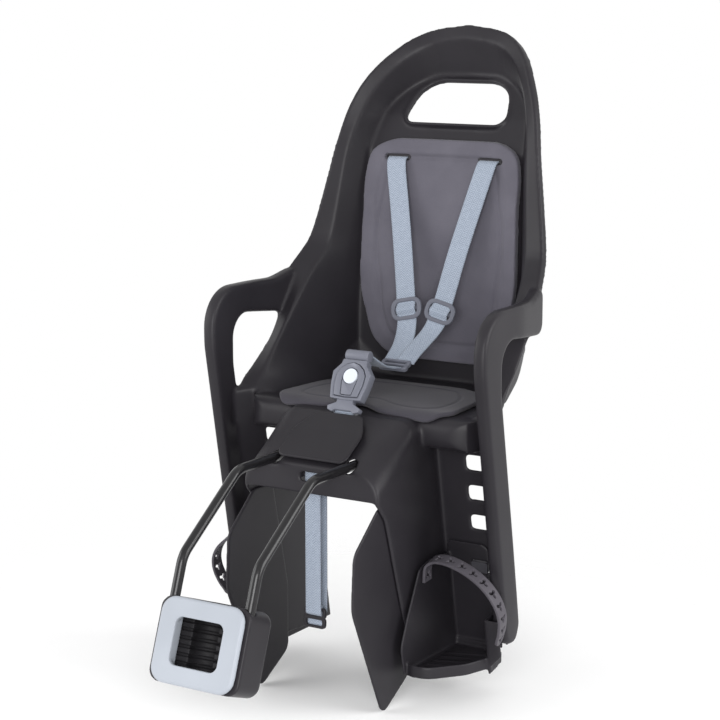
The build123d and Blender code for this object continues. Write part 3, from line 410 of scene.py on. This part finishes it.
shellForm = {
    "windows": ((9.5, 26.2), (46.2, 62.5), (82.6, 99.0)), "windowAcross": (125, 147),
    "closed": ((26.2, 30), (41, 46.2), (72, 82.6), (103, 123)),
    "webStrip": (120, 125), "webLength": (8, 100), "webDepth": (-4, 0),
    "handle": {
        "middle": (0, 196, 330), "lean": math.radians(39.4), "depth": (-8, -40),
        "outline": [(68, -31), (76, -26), (66, 18), (58, 32), (40, 39)],
    },
    "noseEnd": [(150, -50), (169.6, -50), (176, -22), (176, 30), (150, 30)], "noseHeight": (-42.6, -3.4),
    "foot": [(2, -265), (21, -265), (21, -240), (13.6, -240)], "footAcross": (168, 190),
    "slotLips": {"tops": (260.6, 267), "across": (45, 79), "deep": (155, 162), "thick": 3.6},
    "flank": [(148, -0.2), (171.5, 24.8), (151, -4), (173, 20)], "flankLength": (24, 80), "flankSink": 3,
    "rimEnd": [
        (150, -24, -0.5), (171, -28, 3), (171.5, -42, -5), (160, -33, -2), (148, -21, -12), (151, -16, -5),
        (172, -24, -2),
    ],
    "nose": {"middle": (119, -15), "radius": 31, "keep": 0.15, "until": 150.5, "low": -46, "high": 4},
    "rearCorner": {"turn": (0.55, 0.6, -0.58), "from": 128, "share": 0.6, "above": -16, "behind": 30},
}


def handleSpot(look, x, up, out):  # a point at the grab handle: across, up its opening, out of its face
    rise = Vector((0, math.sin(look["lean"]), math.cos(look["lean"])))
    front = Vector((0, -math.cos(look["lean"]), math.sin(look["lean"])))
    return spot(*look["middle"]) + (Vector((x, 0, 0)) + rise * up + front * out) * mm


def shellCuts(look):
    grip = look["handle"]
    cuts = bothSides(spot, (146, 167.9), (-30, 40), (-276, -256))
    for side in (1, -1):
        # the nose stops at the leg's side, and the strut's lower rear corner is round
        cuts.append([spot(side * x, y, z) for x, y in look["noseEnd"] for z in look["noseHeight"]])
        cuts.append([spot(side * x, y, z) for x in look["footAcross"] for y, z in look["foot"]])
    for low, high in look["windows"]:
        cuts += bothSides(legSpot, look["windowAcross"], (low, high), (-9, 6))
    ring = [(side * x, up) for side in (1, -1) for x, up in grip["outline"]]
    cuts.append([handleSpot(grip, x, up, out) for x, up in ring for out in grip["depth"]])
    return [cuts]


def shellAdds(look):
    adds = bothSides(spot, (147.5, 150.2), (-46, 20), (-42, -6))
    for low, high in look["closed"]:
        adds += bothSides(legSpot, (look["webStrip"][0], look["windowAcross"][1]), (low, high), look["webDepth"])
    adds += bothSides(legSpot, look["webStrip"], look["webLength"], look["webDepth"])
    lips = look["slotLips"]
    for top in lips["tops"]:
        adds += bothSides(spot, lips["across"], lips["deep"], (top - lips["thick"], top))
    near, far = look["flankLength"]
    for side in (1, -1):  # the leg's flank runs up into the rim's front end
        flank = [legSpot(side * x, near, v) for x, v in look["flank"]]
        flank += [legSpot(side * x, far, v - look["flankSink"]) for x, v in look["flank"]]
        adds.append(flank + [spot(side * x, y, z) for x, y, z in look["rimEnd"]])
    adds += bothSides(spot, (142, 152), (-24, -6), (-10, -2.5))
    return adds


def shapeShell(place, normal):  # draws the tub's lower rear corners in and rounds the nose's ends
    look = shellForm["rearCorner"]
    side = math.copysign(1, place.x)
    if place.z > look["above"] and place.y > look["behind"]:
        turn = Vector(look["turn"]).normalized()
        turn.x *= side
        over = turn.dot(place) - look["from"]
        return -turn * over * look["share"] if over > 0 else Vector((0, 0, 0))
    look = shellForm["nose"]
    away = Vector((place.x * side - look["middle"][0], place.y - look["middle"][1], 0))
    atNose = look["low"] < place.z < look["high"] and abs(place.x) < look["until"]
    if atNose and away.x > 0 > away.y and away.length > look["radius"]:
        move = away.normalized() * (look["radius"] - away.length) * (1 - look["keep"])
        return Vector((move.x * side, move.y, 0))
    return Vector((0, 0, 0))


mouldings = {
    "pommelCover": ("pommel_cover", "cover_plastic", "seat", {"voxel": 0.9, "rounds": 8, "triangles": 44000}),
    "blockHousing": ("block_housing", "block_plastic", "mount", {"voxel": 1.1, "rounds": 6, "triangles": 60000}),
    "blockPlate": ("block_front_plate", "plate_metal", "mount", {"voxel": 0.8, "rounds": 6, "triangles": 56000}),
    "clampLiner": ("clamp_liner", "liner_rubber", "mount", {"voxel": 0.7, "rounds": 5, "triangles": 60000}),
    "wheelGuardLeft": ("wheel_guard_left", "foot_plastic", "seat", {"voxel": 1.1, "rounds": 6, "triangles": 44000}),
    "wheelGuardRight": ("wheel_guard_right", "foot_plastic", "seat", {"voxel": 1.1, "rounds": 6, "triangles": 44000}),
}
for name, (node, slotName, body, look) in mouldings.items():
    mouldedCopy(name, node, slotName, body, look)
shellFinish = {"voxel": 1.5, "rounds": 13, "triangles": 196000}
cuts, adds = shellCuts(shellForm), shellAdds(shellForm)
mouldedCopy("shell", "seat_shell", "shell_plastic", "seat", shellFinish, cuts, adds, shapeShell)

trayForm = {
    "voxel": 1.2, "rounds": 6, "triangles": 80000, "outer": (180, 200), "length": (170, 262), "deep": (-20, 60),
    "end": [(165.5, 241), (171, 241), (181, 225), (181, 262), (165.5, 262)], "endDeep": (20, 60),
}
for side, label in ((1, "Left"), (-1, "Right")):
    xs = [side * x for x in trayForm["outer"]]
    lug = boxAt(legSpot, xs, trayForm["length"], trayForm["deep"])  # leaves the strut's outer face free
    end = [legSpot(side * x, along, v) for x, along in trayForm["end"] for v in trayForm["endDeep"]]
    node, body = "footrest_" + label.lower(), "foot_tray_" + label.lower()
    mouldedCopy("footTray" + label, node, "foot_plastic", body, trayForm, [[lug], [end]])


# CAD nodes that stay: smooth shading with crisp edges, and their own finish

keptNodes = {
    "holding_bar": "bar_steel", "bar_bracket": "block_plastic", "bracket_screws": "screw_steel",
    "clamp_bolts": "screw_steel", "release_button": "plate_plastic", "strap_anchors": "harness_plastic",
    "footrest_latch_left": "plate_plastic", "footrest_latch_right": "plate_plastic", "buckle_button": "button_plastic",
}


creaseAngle = 35  # degrees


def dressNode(node, slotName):
    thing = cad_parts[node]
    for face in thing.data.polygons:
        face.use_smooth = True
    thing.data.materials.clear()
    thing.data.materials.append(looks[slotName])
    weld = thing.modifiers.new("weld", "WELD")
    weld.merge_threshold = mergeDistance
    split = thing.modifiers.new("creases", "EDGE_SPLIT")
    split.split_angle = math.radians(creaseAngle)


for node, slotName in keptNodes.items():
    dressNode(node, slotName)
print("kept nodes dressed", len(keptNodes))


# pads

backForm = {
    "outline": [(84, 284), (104, 226), (107, 108), (84, 20)], "inset": 21, "width": 3.2, "depth": 2.6,
    "shoulder": 11, "shoulderUp": (205, 70), "shoulderOut": (66, 30),
    "voxel": 1.25, "rounds": 6, "triangles": 110000,
}
seatForm = {
    "outline": [(0, -28), (30, -46), (98, -46), (117, -26), (110, 60), (76, 102)],
    "inset": 19, "width": 2.8, "depth": 1.3,
    "bendFrom": -31, "bendRadius": 15, "base": -6, "middle": 12, "full": 96,
    "voxel": 1.2, "rounds": 5, "triangles": 90000,
}


cornerBlend = 9  # mm, how far the pressed line rounds the outline's corners


def edgeDistance(x, y, outline):  # soft distance from a point to the pad's outline
    ring = outline + [(-a, b) for a, b in reversed(outline)]
    total = 0.0
    for (ax, ay), (bx, by) in zip(ring, ring[1:] + ring[:1]):
        dx, dy = bx - ax, by - ay
        size = dx * dx + dy * dy
        if size:
            part = min(max(((x - ax) * dx + (y - ay) * dy) / size, 0), 1)
            total += math.exp(-math.hypot(ax + dx * part - x, ay + dy * part - y) / cornerBlend)
    return -cornerBlend * math.log(total)


def pressed(x, y, look):  # depth of the line pressed into the pad's face
    away = abs(edgeDistance(x, y, look["outline"]) - look["inset"]) / look["width"]
    return look["depth"] * math.cos(away * math.pi / 2) ** 2 if away < 1 else 0.0


def soft(share):
    share = min(max(share, 0), 1)
    return share * share * (3 - 2 * share)


def shapeBack(place, normal):
    up, out = backForm["shoulderUp"], backForm["shoulderOut"]
    near = soft((place.z - up[0]) / up[1]) * soft((abs(place.x) - out[0]) / out[1])  # fuller shoulders
    move = Vector((math.copysign(backForm["shoulder"] * near, place.x), 0, 0))
    if normal.y < -0.5:
        move.y = pressed(place.x, place.z, backForm)
    return move


def shapeSeat(place, normal):
    look = seatForm
    moved = place.copy()
    if normal.z > 0.5:
        moved.z -= pressed(place.x, place.y, look)
    if place.y < look["bendFrom"]:  # the front lobes bend over the nose
        share = min(max((abs(place.x) - look["middle"]) / (look["full"] - look["middle"]), 0), 1)
        turn = (look["bendFrom"] - place.y) / look["bendRadius"] * share
        high = moved.z - look["base"]
        if turn > 1e-4:
            radius = look["bendRadius"] / share
            moved.y = look["bendFrom"] - (radius + high) * math.sin(turn)
            moved.z = look["base"] - radius + (radius + high) * math.cos(turn)
    return moved - place


mouldedCopy("backPad", "back_pad", "back_foam", "seat", backForm, pull=shapeBack)
mouldedCopy("seatPad", "seat_pad", "seat_foam", "seat", seatForm, pull=shapeSeat)
print("pads made")


# webbing

def readRoute(points, count):  # evenly read points of a smooth NURBS run through the strap's own corners
    curve = bpy.data.curves.new("route", "CURVE")
    curve.dimensions = "3D"
    line = curve.splines.new("NURBS")
    line.points.add(len(points) - 1)
    for point, place in zip(line.points, points):
        point.co = (*place, 1)
    line.order_u = 3
    line.use_endpoint_u = True
    line.resolution_u = 24
    holder = bpy.data.objects.new("route", curve)
    mesh = bpy.data.meshes.new_from_object(holder)
    dense = [v.co.copy() for v in mesh.vertices]
    bpy.data.objects.remove(holder)
    bpy.data.curves.remove(curve)
    bpy.data.meshes.remove(mesh)
    reach = [0.0]
    for a, b in zip(dense, dense[1:]):
        reach.append(reach[-1] + (b - a).length)
    route = []
    k = 0
    for i in range(count):
        goal = reach[-1] * i / (count - 1)
        while k < len(reach) - 2 and reach[k + 1] < goal:
            k += 1
        part = (goal - reach[k]) / max(reach[k + 1] - reach[k], 1e-9)
        route.append(dense[k].lerp(dense[k + 1], min(max(part, 0), 1)))
    return route, reach[-1]


def strapFrames(route, across):
    frames = []
    for i, place in enumerate(route):
        run = (route[min(i + 1, len(route) - 1)] - route[max(i - 1, 0)]).normalized()
        wide = (across - run * across.dot(run)).normalized()
        frames.append((place, wide, wide.cross(run)))
    return frames


def layAlong(shape, frames, length):  # bends a flat strip, long in x, over the strap's route
    strip = shape.loops.layers.uv.new("strip")
    for face in shape.faces:
        for loop in face.loops:
            loop[strip].uv = (loop.vert.co.x, loop.vert.co.y)
    last = len(frames) - 1
    for v in shape.verts:
        along = min(max(v.co.x / length, 0), 1) * last
        i = min(int(along), last - 1)
        part = along - i
        place = frames[i][0].lerp(frames[i + 1][0], part)
        wide = frames[i][1].lerp(frames[i + 1][1], part).normalized()
        thick = frames[i][2].lerp(frames[i + 1][2], part).normalized()
        v.co = place + wide * v.co.y + thick * v.co.z


selvedgeFrom = 0.8  # share of the half width where the selvedge begins


def webbingStrap(name, points, look, slotName, body, *nodes):
    route, length = readRoute([spot(*p) for p in points], look["steps"])
    shape = bmesh.new()
    bmesh.ops.create_grid(shape, x_segments=look["steps"] * 2, y_segments=12, size=0.5)
    for v in shape.verts:
        edge = max(0.0, abs(v.co.y) * 2 - selvedgeFrom) / (1 - selvedgeFrom)
        raised = math.sin(edge * math.pi) * look["selvedge"] * mm
        v.co = Vector(((v.co.x + 0.5) * length, v.co.y * look["width"] * mm, raised))
    bmesh.ops.solidify(shape, geom=shape.faces[:], thickness=look["thick"] * mm)
    middle = sum(v.co.z for v in shape.verts) / len(shape.verts)
    bmesh.ops.translate(shape, verts=shape.verts, vec=Vector((0, 0, -middle)))
    if "over" in look:  # the strap rises over the slider's bar
        bar = spot(*look["over"])
        nearest = min(range(len(route)), key=lambda i: (route[i] - bar).length)
        middle = nearest / (len(route) - 1) * length
        for v in shape.verts:
            away = abs(v.co.x - middle) / (look["overHalf"] * mm)
            if away < 1:
                v.co.z -= look["rise"] * mm * math.cos(away * math.pi / 2) ** 2
    layAlong(shape, strapFrames(route, Vector(look["across"])), length)
    return newPiece(name, meshOf(shape, name), slotName, body, *nodes)


harness = {"width": 25, "thick": 1.6, "selvedge": 0.25, "steps": 90, "across": (1, 0, 0)}
strapRun = [
    (62, 169.5, 262), (62, 160, 262), (62, 151, 262), (60, 145.5, 250), (50, 137, 210), (36, 123, 150),
    (27.4, 114.2, 104.8), (23, 109, 86), (18.6, 103.8, 67.2), (12, 81, 50), (9, 56.3, 36.2), (9, 51.2, 32.3),
]
rightRun = [(-x, y, z) for x, y, z in strapRun]
rightRun[-3:] = [(-12, 83.4, 47.6), (-9, 57.5, 33.8), (-9, 51.2, 28.94)]
leftStrap = dict(harness, over=(23, 109, 86), overHalf=8, rise=3.4, steps=140)
rightStrap = dict(leftStrap, over=(-23, 109, 86))
webbingStrap("shoulderStrapLeft", strapRun, leftStrap, "webbing", "seat", "shoulder_strap_left")
webbingStrap("shoulderStrapRight", rightRun, rightStrap, "webbing", "seat", "shoulder_strap_right")
joinerRun = [(0, 38, 29.3), (0, 18, 31.5), (0, -4, 40), (0, -25.8, 52.6)]
webbingStrap("joinerStrap", joinerRun, harness, "webbing", "seat", "joiner_strap")
crotchRun = [(0, -64.6, -1.76), (0, -66, -4.3), (0, -66, -11), (0, -66, -16.9)]
webbingStrap("crotchStrap", crotchRun, harness, "webbing", "seat", "crotch_strap")

safety = {"width": 20, "thick": 1.4, "selvedge": 0.2, "steps": 120, "across": (1, 0, 0)}
safetyRun = [
    (0, -124, -58.7), (0, -130.3, -58.7), (0, -130.3, -66), (0, -130.3, -140), (0, -130.3, -219), (0, -130.3, -225.3),
    (0, -124, -225.3), (0, -117.7, -225.3), (0, -117.7, -219), (0, -117.7, -140), (0, -117.7, -66), (0, -117.7, -58.7),
    (0, -124, -58.7),
]
webbingStrap("safetyStrap", safetyRun, safety, "webbing", "seat", "safety_strap")
tailRun = [(0, -126.5, -214), (0, -127.6, -222), (0, -125.6, -229), (0, -127.6, -236), (0, -125.6, -241)]
webbingStrap("safetyTail", tailRun, dict(safety, width=19, steps=40), "webbing", "seat", "safety_strap")
print("webbing made")


# clips and buckle

def roundEdges(shape, edges, size, segments):
    bmesh.ops.bevel(
        shape, geom=edges, offset=size * mm, offset_type="OFFSET", segments=segments,
        profile=0.5, affect="EDGES", clamp_overlap=True, material=-1,
    )


softEdge = 0.35  # radians; plates are bevelled at sharper edges


def grow(shape, faces, low, high, bevel):  # a flat outline becomes a bevelled plate between two heights
    bmesh.ops.solidify(shape, geom=faces, thickness=(high - low) * mm)
    bmesh.ops.recalc_face_normals(shape, faces=shape.faces)
    floor = min(v.co.z for v in shape.verts)
    bmesh.ops.translate(shape, verts=shape.verts, vec=Vector((0, 0, low * mm - floor)))
    roundEdges(shape, [e for e in shape.edges if e.calc_face_angle(0) > softEdge], bevel, 3)


def loopOf(shape, points):  # the edges of a closed outline
    verts = [bmesh.ops.create_vert(shape, co=(x * mm, y * mm, 0))["vert"][0] for x, y in points]
    edges = []
    for a, b in zip(verts, verts[1:] + verts[:1]):
        edges += bmesh.ops.contextual_create(shape, geom=[a, b])["edges"]
    return edges


def plateInto(whole, points, low, high, bevel):
    shape = bmesh.new()
    faces = bmesh.ops.contextual_create(shape, geom=loopOf(shape, points))["faces"]
    grow(shape, faces, low, high, bevel)
    joinInto(whole, shape)


def ringInto(whole, outer, inner, low, high, bevel):
    shape = bmesh.new()
    edges = loopOf(shape, outer) + loopOf(shape, inner)
    faces = bmesh.ops.bridge_loops(shape, edges=edges)["faces"]
    grow(shape, faces, low, high, bevel)
    joinInto(whole, shape)


def joinInto(whole, shape):
    mesh = bpy.data.meshes.new("part")
    shape.to_mesh(mesh)
    shape.free()
    whole.from_mesh(mesh)
    bpy.data.meshes.remove(mesh)


def mirrored(half):  # the other half of an outline that starts and ends on the middle line
    return half + [(-x, y) for x, y in reversed(half) if abs(x) > 1e-6]


def roundedBox(wide, high, radius, middle=(0, 0), steps=5):
    points = []
    for i, (sx, sy) in enumerate(((1, 1), (-1, 1), (-1, -1), (1, -1))):
        for k in range(steps + 1):
            turn = math.pi / 2 * (i + k / steps)
            x = sx * (wide / 2 - radius) + radius * math.cos(turn)
            y = sy * (high / 2 - radius) + radius * math.sin(turn)
            points.append((middle[0] + x, middle[1] + y))
    return points


def stand(shape, middle, up, right=(1, 0, 0)):  # turns a flat model to its place: its y along up, its z to the front
    rise = Vector(up).normalized()
    side = Vector(right)
    side = (side - rise * side.dot(rise)).normalized()
    turn = Matrix((side, rise, side.cross(rise))).transposed().to_4x4()
    bmesh.ops.transform(shape, matrix=Matrix.Translation(spot(*middle)) @ turn, verts=shape.verts)


def creased(piece, degrees=40):
    split = piece.modifiers.new("creases", "EDGE_SPLIT")
    split.split_angle = math.radians(degrees)


buckle = {
    "middle": (0, -47, 30), "up": (0, 36, 65),
    "outer": [(0, 20), (15.5, 20), (16.5, 14.5), (25, 4.5), (23.5, -11), (20, -27), (0, -28)],
    "arch": [(0, 16.5), (8, 14.5), (15, 9), (19, 2), (19, -9), (16, -24), (0, -25)],
    "core": [(0, 15.8), (7.7, 13.8), (14.4, 8.6), (18.3, 1.8), (18.3, -9), (15.4, -23.4), (0, -24.3)],
    "well": [(0, 10.2), (6, 8.4), (9.2, 4.6), (10.3, -1), (10, -8), (7.3, -22.6), (0, -23)],
    "floor": [(0, 9.8), (5.4, 8.2), (8.8, 4.4), (9.9, -1), (9.6, -8), (6.9, -22.2), (0, -22.6)],
    "slide": [
        (0, -9.6), (2.5, -9.3), (4.8, -8.3), (6.8, -6.8), (8.3, -4.8), (9.2, -5.3), (9, -8), (6.4, -21.8), (0, -22.2),
    ],
    "tongue": [(0, -24), (10.4, -24), (11, -31), (21.5, -36), (20.5, -40.5), (13.6, -42.5), (11, -40), (0, -40)],
    "roller": {"radius": 6.8, "length": 30, "up": 26.4, "bevel": 1.2, "segments": 40},
    "caseSpan": (-6.5, 6.2, 1.3), "coreSpan": (-6, 7, 0.5),  # each span: from, to, bevel
    "floorSpan": (-5, 1.2, 0.3), "slideSpan": (0, 7, 0.3), "tongueSpan": (-4.5, 4.5, 1.2),
}


def makeBuckle(look):
    shape = bmesh.new()
    ringInto(shape, mirrored(look["outer"]), mirrored(look["arch"]), *look["caseSpan"])
    ringInto(shape, mirrored(look["core"]), mirrored(look["well"]), *look["coreSpan"])
    plateInto(shape, mirrored(look["floor"]), *look["floorSpan"])  # the pressed button stops above it
    plateInto(shape, mirrored(look["slide"]), *look["slideSpan"])
    plateInto(shape, mirrored(look["tongue"]), *look["tongueSpan"])
    roller = bmesh.new()
    size = look["roller"]
    radius, length = size["radius"] * mm, size["length"] * mm
    bmesh.ops.create_cone(
        roller, cap_ends=True, segments=size["segments"], radius1=radius, radius2=radius, depth=length,
    )
    roundEdges(roller, [e for e in roller.edges if e.calc_face_angle(0) > 1], size["bevel"], 3)
    bmesh.ops.rotate(roller, cent=(0, 0, 0), matrix=Matrix.Rotation(math.pi / 2, 3, "Y"), verts=roller.verts)
    bmesh.ops.translate(roller, vec=(0, size["up"] * mm, 0), verts=roller.verts)
    joinInto(shape, roller)
    stand(shape, look["middle"], look["up"])
    creased(newPiece("buckleBody", meshOf(shape, "buckleBody"), "buckle_plastic", "seat", "buckle_body"))


makeBuckle(buckle)

slider = {
    "outer": (41, 27, 11), "window": (30, 17, 7), "ringSpan": (-1.6, 2.2, 1.2),
    "bar": (33, 5, 2), "barSpan": (-2, 0.2, 0.5),
    "middle": (23, 109, 86), "up": (8.8, 10.4, 37.6),
}
for side, label in ((1, "Left"), (-1, "Right")):
    shape = bmesh.new()
    ringInto(shape, roundedBox(*slider["outer"]), roundedBox(*slider["window"]), *slider["ringSpan"])
    plateInto(shape, roundedBox(*slider["bar"]), *slider["barSpan"])
    middle, up = slider["middle"], slider["up"]
    stand(shape, (side * middle[0], *middle[1:]), (side * up[0], *up[1:]))
    mesh = meshOf(shape, "strapSlider")
    creased(newPiece("strapSlider" + label, mesh, "harness_plastic", "seat", "strap_slider_" + label.lower()))

joiner = {
    "outer": (38, 9.6, 4), "window": (28.5, 4.4, 1.8), "span": (-2.8, 2.8, 1.3), "gap": 3.6,
    "middle": (0, 44.4, 30.3), "up": (0, 14, 7),
}
shape = bmesh.new()
for place in (joiner["gap"], -joiner["gap"]):
    outer, window = roundedBox(*joiner["outer"], (0, place)), roundedBox(*joiner["window"], (0, place))
    ringInto(shape, outer, window, *joiner["span"])
stand(shape, joiner["middle"], joiner["up"])
creased(newPiece("strapJoiner", meshOf(shape, "strapJoiner"), "harness_plastic", "seat", "strap_joiner"))

lock = {
    "outer": (29, 13, 4.5), "window": (20.5, 6.6, 2), "span": (-1.5, 2.6, 1.1), "gap": 5.4,
    "middle": (0, -126.6, -229), "up": (0, 0.05, 1),
}
shape = bmesh.new()
for place in (lock["gap"], -lock["gap"]):
    outer, window = roundedBox(*lock["outer"], (0, place)), roundedBox(*lock["window"], (0, place))
    ringInto(shape, outer, window, *lock["span"])
stand(shape, lock["middle"], lock["up"])
mesh = meshOf(shape, "safetyStrapBuckle")
creased(newPiece("safetyStrapBuckle", mesh, "block_plastic", "seat", "safety_strap_buckle"))
print("clips made")


# foot straps: a flat strip of tiles, each with a three-lobed hole, bent over the strap's route

footStrap = {
    "pitch": 15.5, "width": 17, "thick": 3, "hole": 3.7, "lobe": 0.55, "points": 24, "bevel": 0.7,
    "across": (0, 1, 0.3), "steps": 160,
    "run": [
        (97.4, -46, -192), (97.4, -47, -180), (101, -48, -168), (116, -50, -162), (138, -53, -164), (160, -54, -172),
        (178, -54, -184), (190, -52, -200), (194, -47, -218), (190, -41, -236), (184, -35, -248), (180, -32, -260),
    ],
}


def holedStrip(look, count):
    shape = bmesh.new()
    for i in range(count):
        outer, inner = [], []
        for k in range(look["points"]):
            turn = 2 * math.pi * k / look["points"]
            x, y = math.cos(turn), math.sin(turn)
            edge = max(abs(x), abs(y))
            flat = (x / edge * look["pitch"] / 2, y / edge * look["width"] / 2)
            if i == count - 1 and x > 0:
                flat = (x * look["width"] / 2, y * look["width"] / 2)  # the tail's rounded end
            outer.append((flat[0] + (i + 0.5) * look["pitch"], flat[1]))
            size = look["hole"] * (1 + look["lobe"] * math.cos(3 * turn))
            inner.append((x * size + (i + 0.5) * look["pitch"], y * size))
        edges = loopOf(shape, outer) + loopOf(shape, inner)
        bmesh.ops.bridge_loops(shape, edges=edges)
    bmesh.ops.remove_doubles(shape, verts=shape.verts, dist=0.05 * mm)
    bmesh.ops.subdivide_edges(shape, edges=shape.edges, cuts=1, use_grid_fill=True)
    bmesh.ops.solidify(shape, geom=shape.faces[:], thickness=look["thick"] * mm)
    bmesh.ops.recalc_face_normals(shape, faces=shape.faces)
    middle = sum(v.co.z for v in shape.verts) / len(shape.verts)
    bmesh.ops.translate(shape, verts=shape.verts, vec=Vector((0, 0, -middle)))
    roundEdges(shape, [e for e in shape.edges if e.calc_face_angle(0) > 1], look["bevel"], 2)
    return shape


for side, label in ((1, "Left"), (-1, "Right")):
    route, length = readRoute([spot(side * x, y, z) for x, y, z in footStrap["run"]], footStrap["steps"])
    count = int(length / mm / footStrap["pitch"])
    shape = holedStrip(footStrap, count)
    layAlong(shape, strapFrames(route, Vector(footStrap["across"])), length)
    body, node = "foot_tray_" + label.lower(), "foot_strap_" + label.lower()
    creased(newPiece("footStrap" + label, meshOf(shape, "footStrap"), "strap_rubber", body, node))
print("foot straps made")


# floor, backdrop and light

stageLook = {"size": 3.0, "shade": "#fbfbfb", "middle": (0, 0.2), "full": 0.3, "gone": 0.75, "gap": 0.001}
lights = {  # place, size in metres, watts
    "keyLight": ((1.3, -2.3, 0.7), 1.6, 66),
    "fillLight": ((-2.1, -1.2, 0.9), 1.8, 32),
    "sideLight": ((2.4, 0.8, 0.9), 1.6, 40),
}
lightAim = (0, 0.3, 0.2)
worldStrength = 0.75


def makeStage(look, height):
    shape = bmesh.new()
    bmesh.ops.create_grid(shape, x_segments=1, y_segments=1, size=look["size"])
    bmesh.ops.translate(shape, verts=shape.verts, vec=Vector((0, 0, height)))
    floor = bpy.data.objects.new("floor", meshOf(shape, "floor"))
    bpy.context.scene.collection.objects.link(floor)
    material, tree, shader = newMaterial("paper sweep, matt white", 0.9)
    shader.inputs["Base Color"].default_value = linear(look["shade"])
    place = addNode(tree, "ShaderNodeTexCoord").outputs["Object"]
    middle = (*look["middle"], height)
    away = addNode(tree, "ShaderNodeVectorMath", {"operation": "DISTANCE", 1: middle}, {0: place})
    fade = {"From Min": look["full"], "From Max": look["gone"], "To Min": 1.0, "To Max": 0.0}
    share = addNode(tree, "ShaderNodeMapRange", {"interpolation_type": "SMOOTHSTEP", **fade})
    tree.links.new(away.outputs["Value"], share.inputs["Value"])
    tree.links.new(share.outputs["Result"], shader.inputs["Alpha"])  # the paper fades out into the white backdrop
    floor.data.materials.append(material)


def areaLight(name, place, size, power):
    lamp = bpy.data.lights.new(name, "AREA")
    lamp.size = size
    lamp.energy = power
    holder = bpy.data.objects.new(name, lamp)
    bpy.context.scene.collection.objects.link(holder)
    holder.location = place
    holder.rotation_mode = "QUATERNION"
    holder.rotation_quaternion = (Vector(lightAim) - Vector(place)).to_track_quat("-Z", "Y")


def whiteWorld(strength):
    world = bpy.data.worlds.new("studio")
    bpy.context.scene.world = world
    world.use_nodes = True
    tree = world.node_tree
    path = addNode(tree, "ShaderNodeLightPath").outputs
    either = {"operation": "MAXIMUM"}
    seen = addNode(tree, "ShaderNodeMath", either, {0: path["Is Camera Ray"], 1: path["Is Glossy Ray"]})
    clear = addNode(tree, "ShaderNodeMath", either, {0: seen.outputs[0], 1: path["Is Transmission Ray"]})
    level = addNode(tree, "ShaderNodeMapRange", {"To Min": strength, "To Max": 1.0}, {"Value": clear.outputs[0]})
    sky = tree.nodes["Background"]
    sky.inputs["Color"].default_value = (1, 1, 1, 1)
    tree.links.new(level.outputs["Result"], sky.inputs["Strength"])


makeStage(stageLook, cadBox[0][2] - stageLook["gap"])
for name, (place, size, power) in lights.items():
    areaLight(name, place, size, power)
whiteWorld(worldStrength)
bpy.context.scene.view_settings.view_transform = "Standard"
print("stage lit")
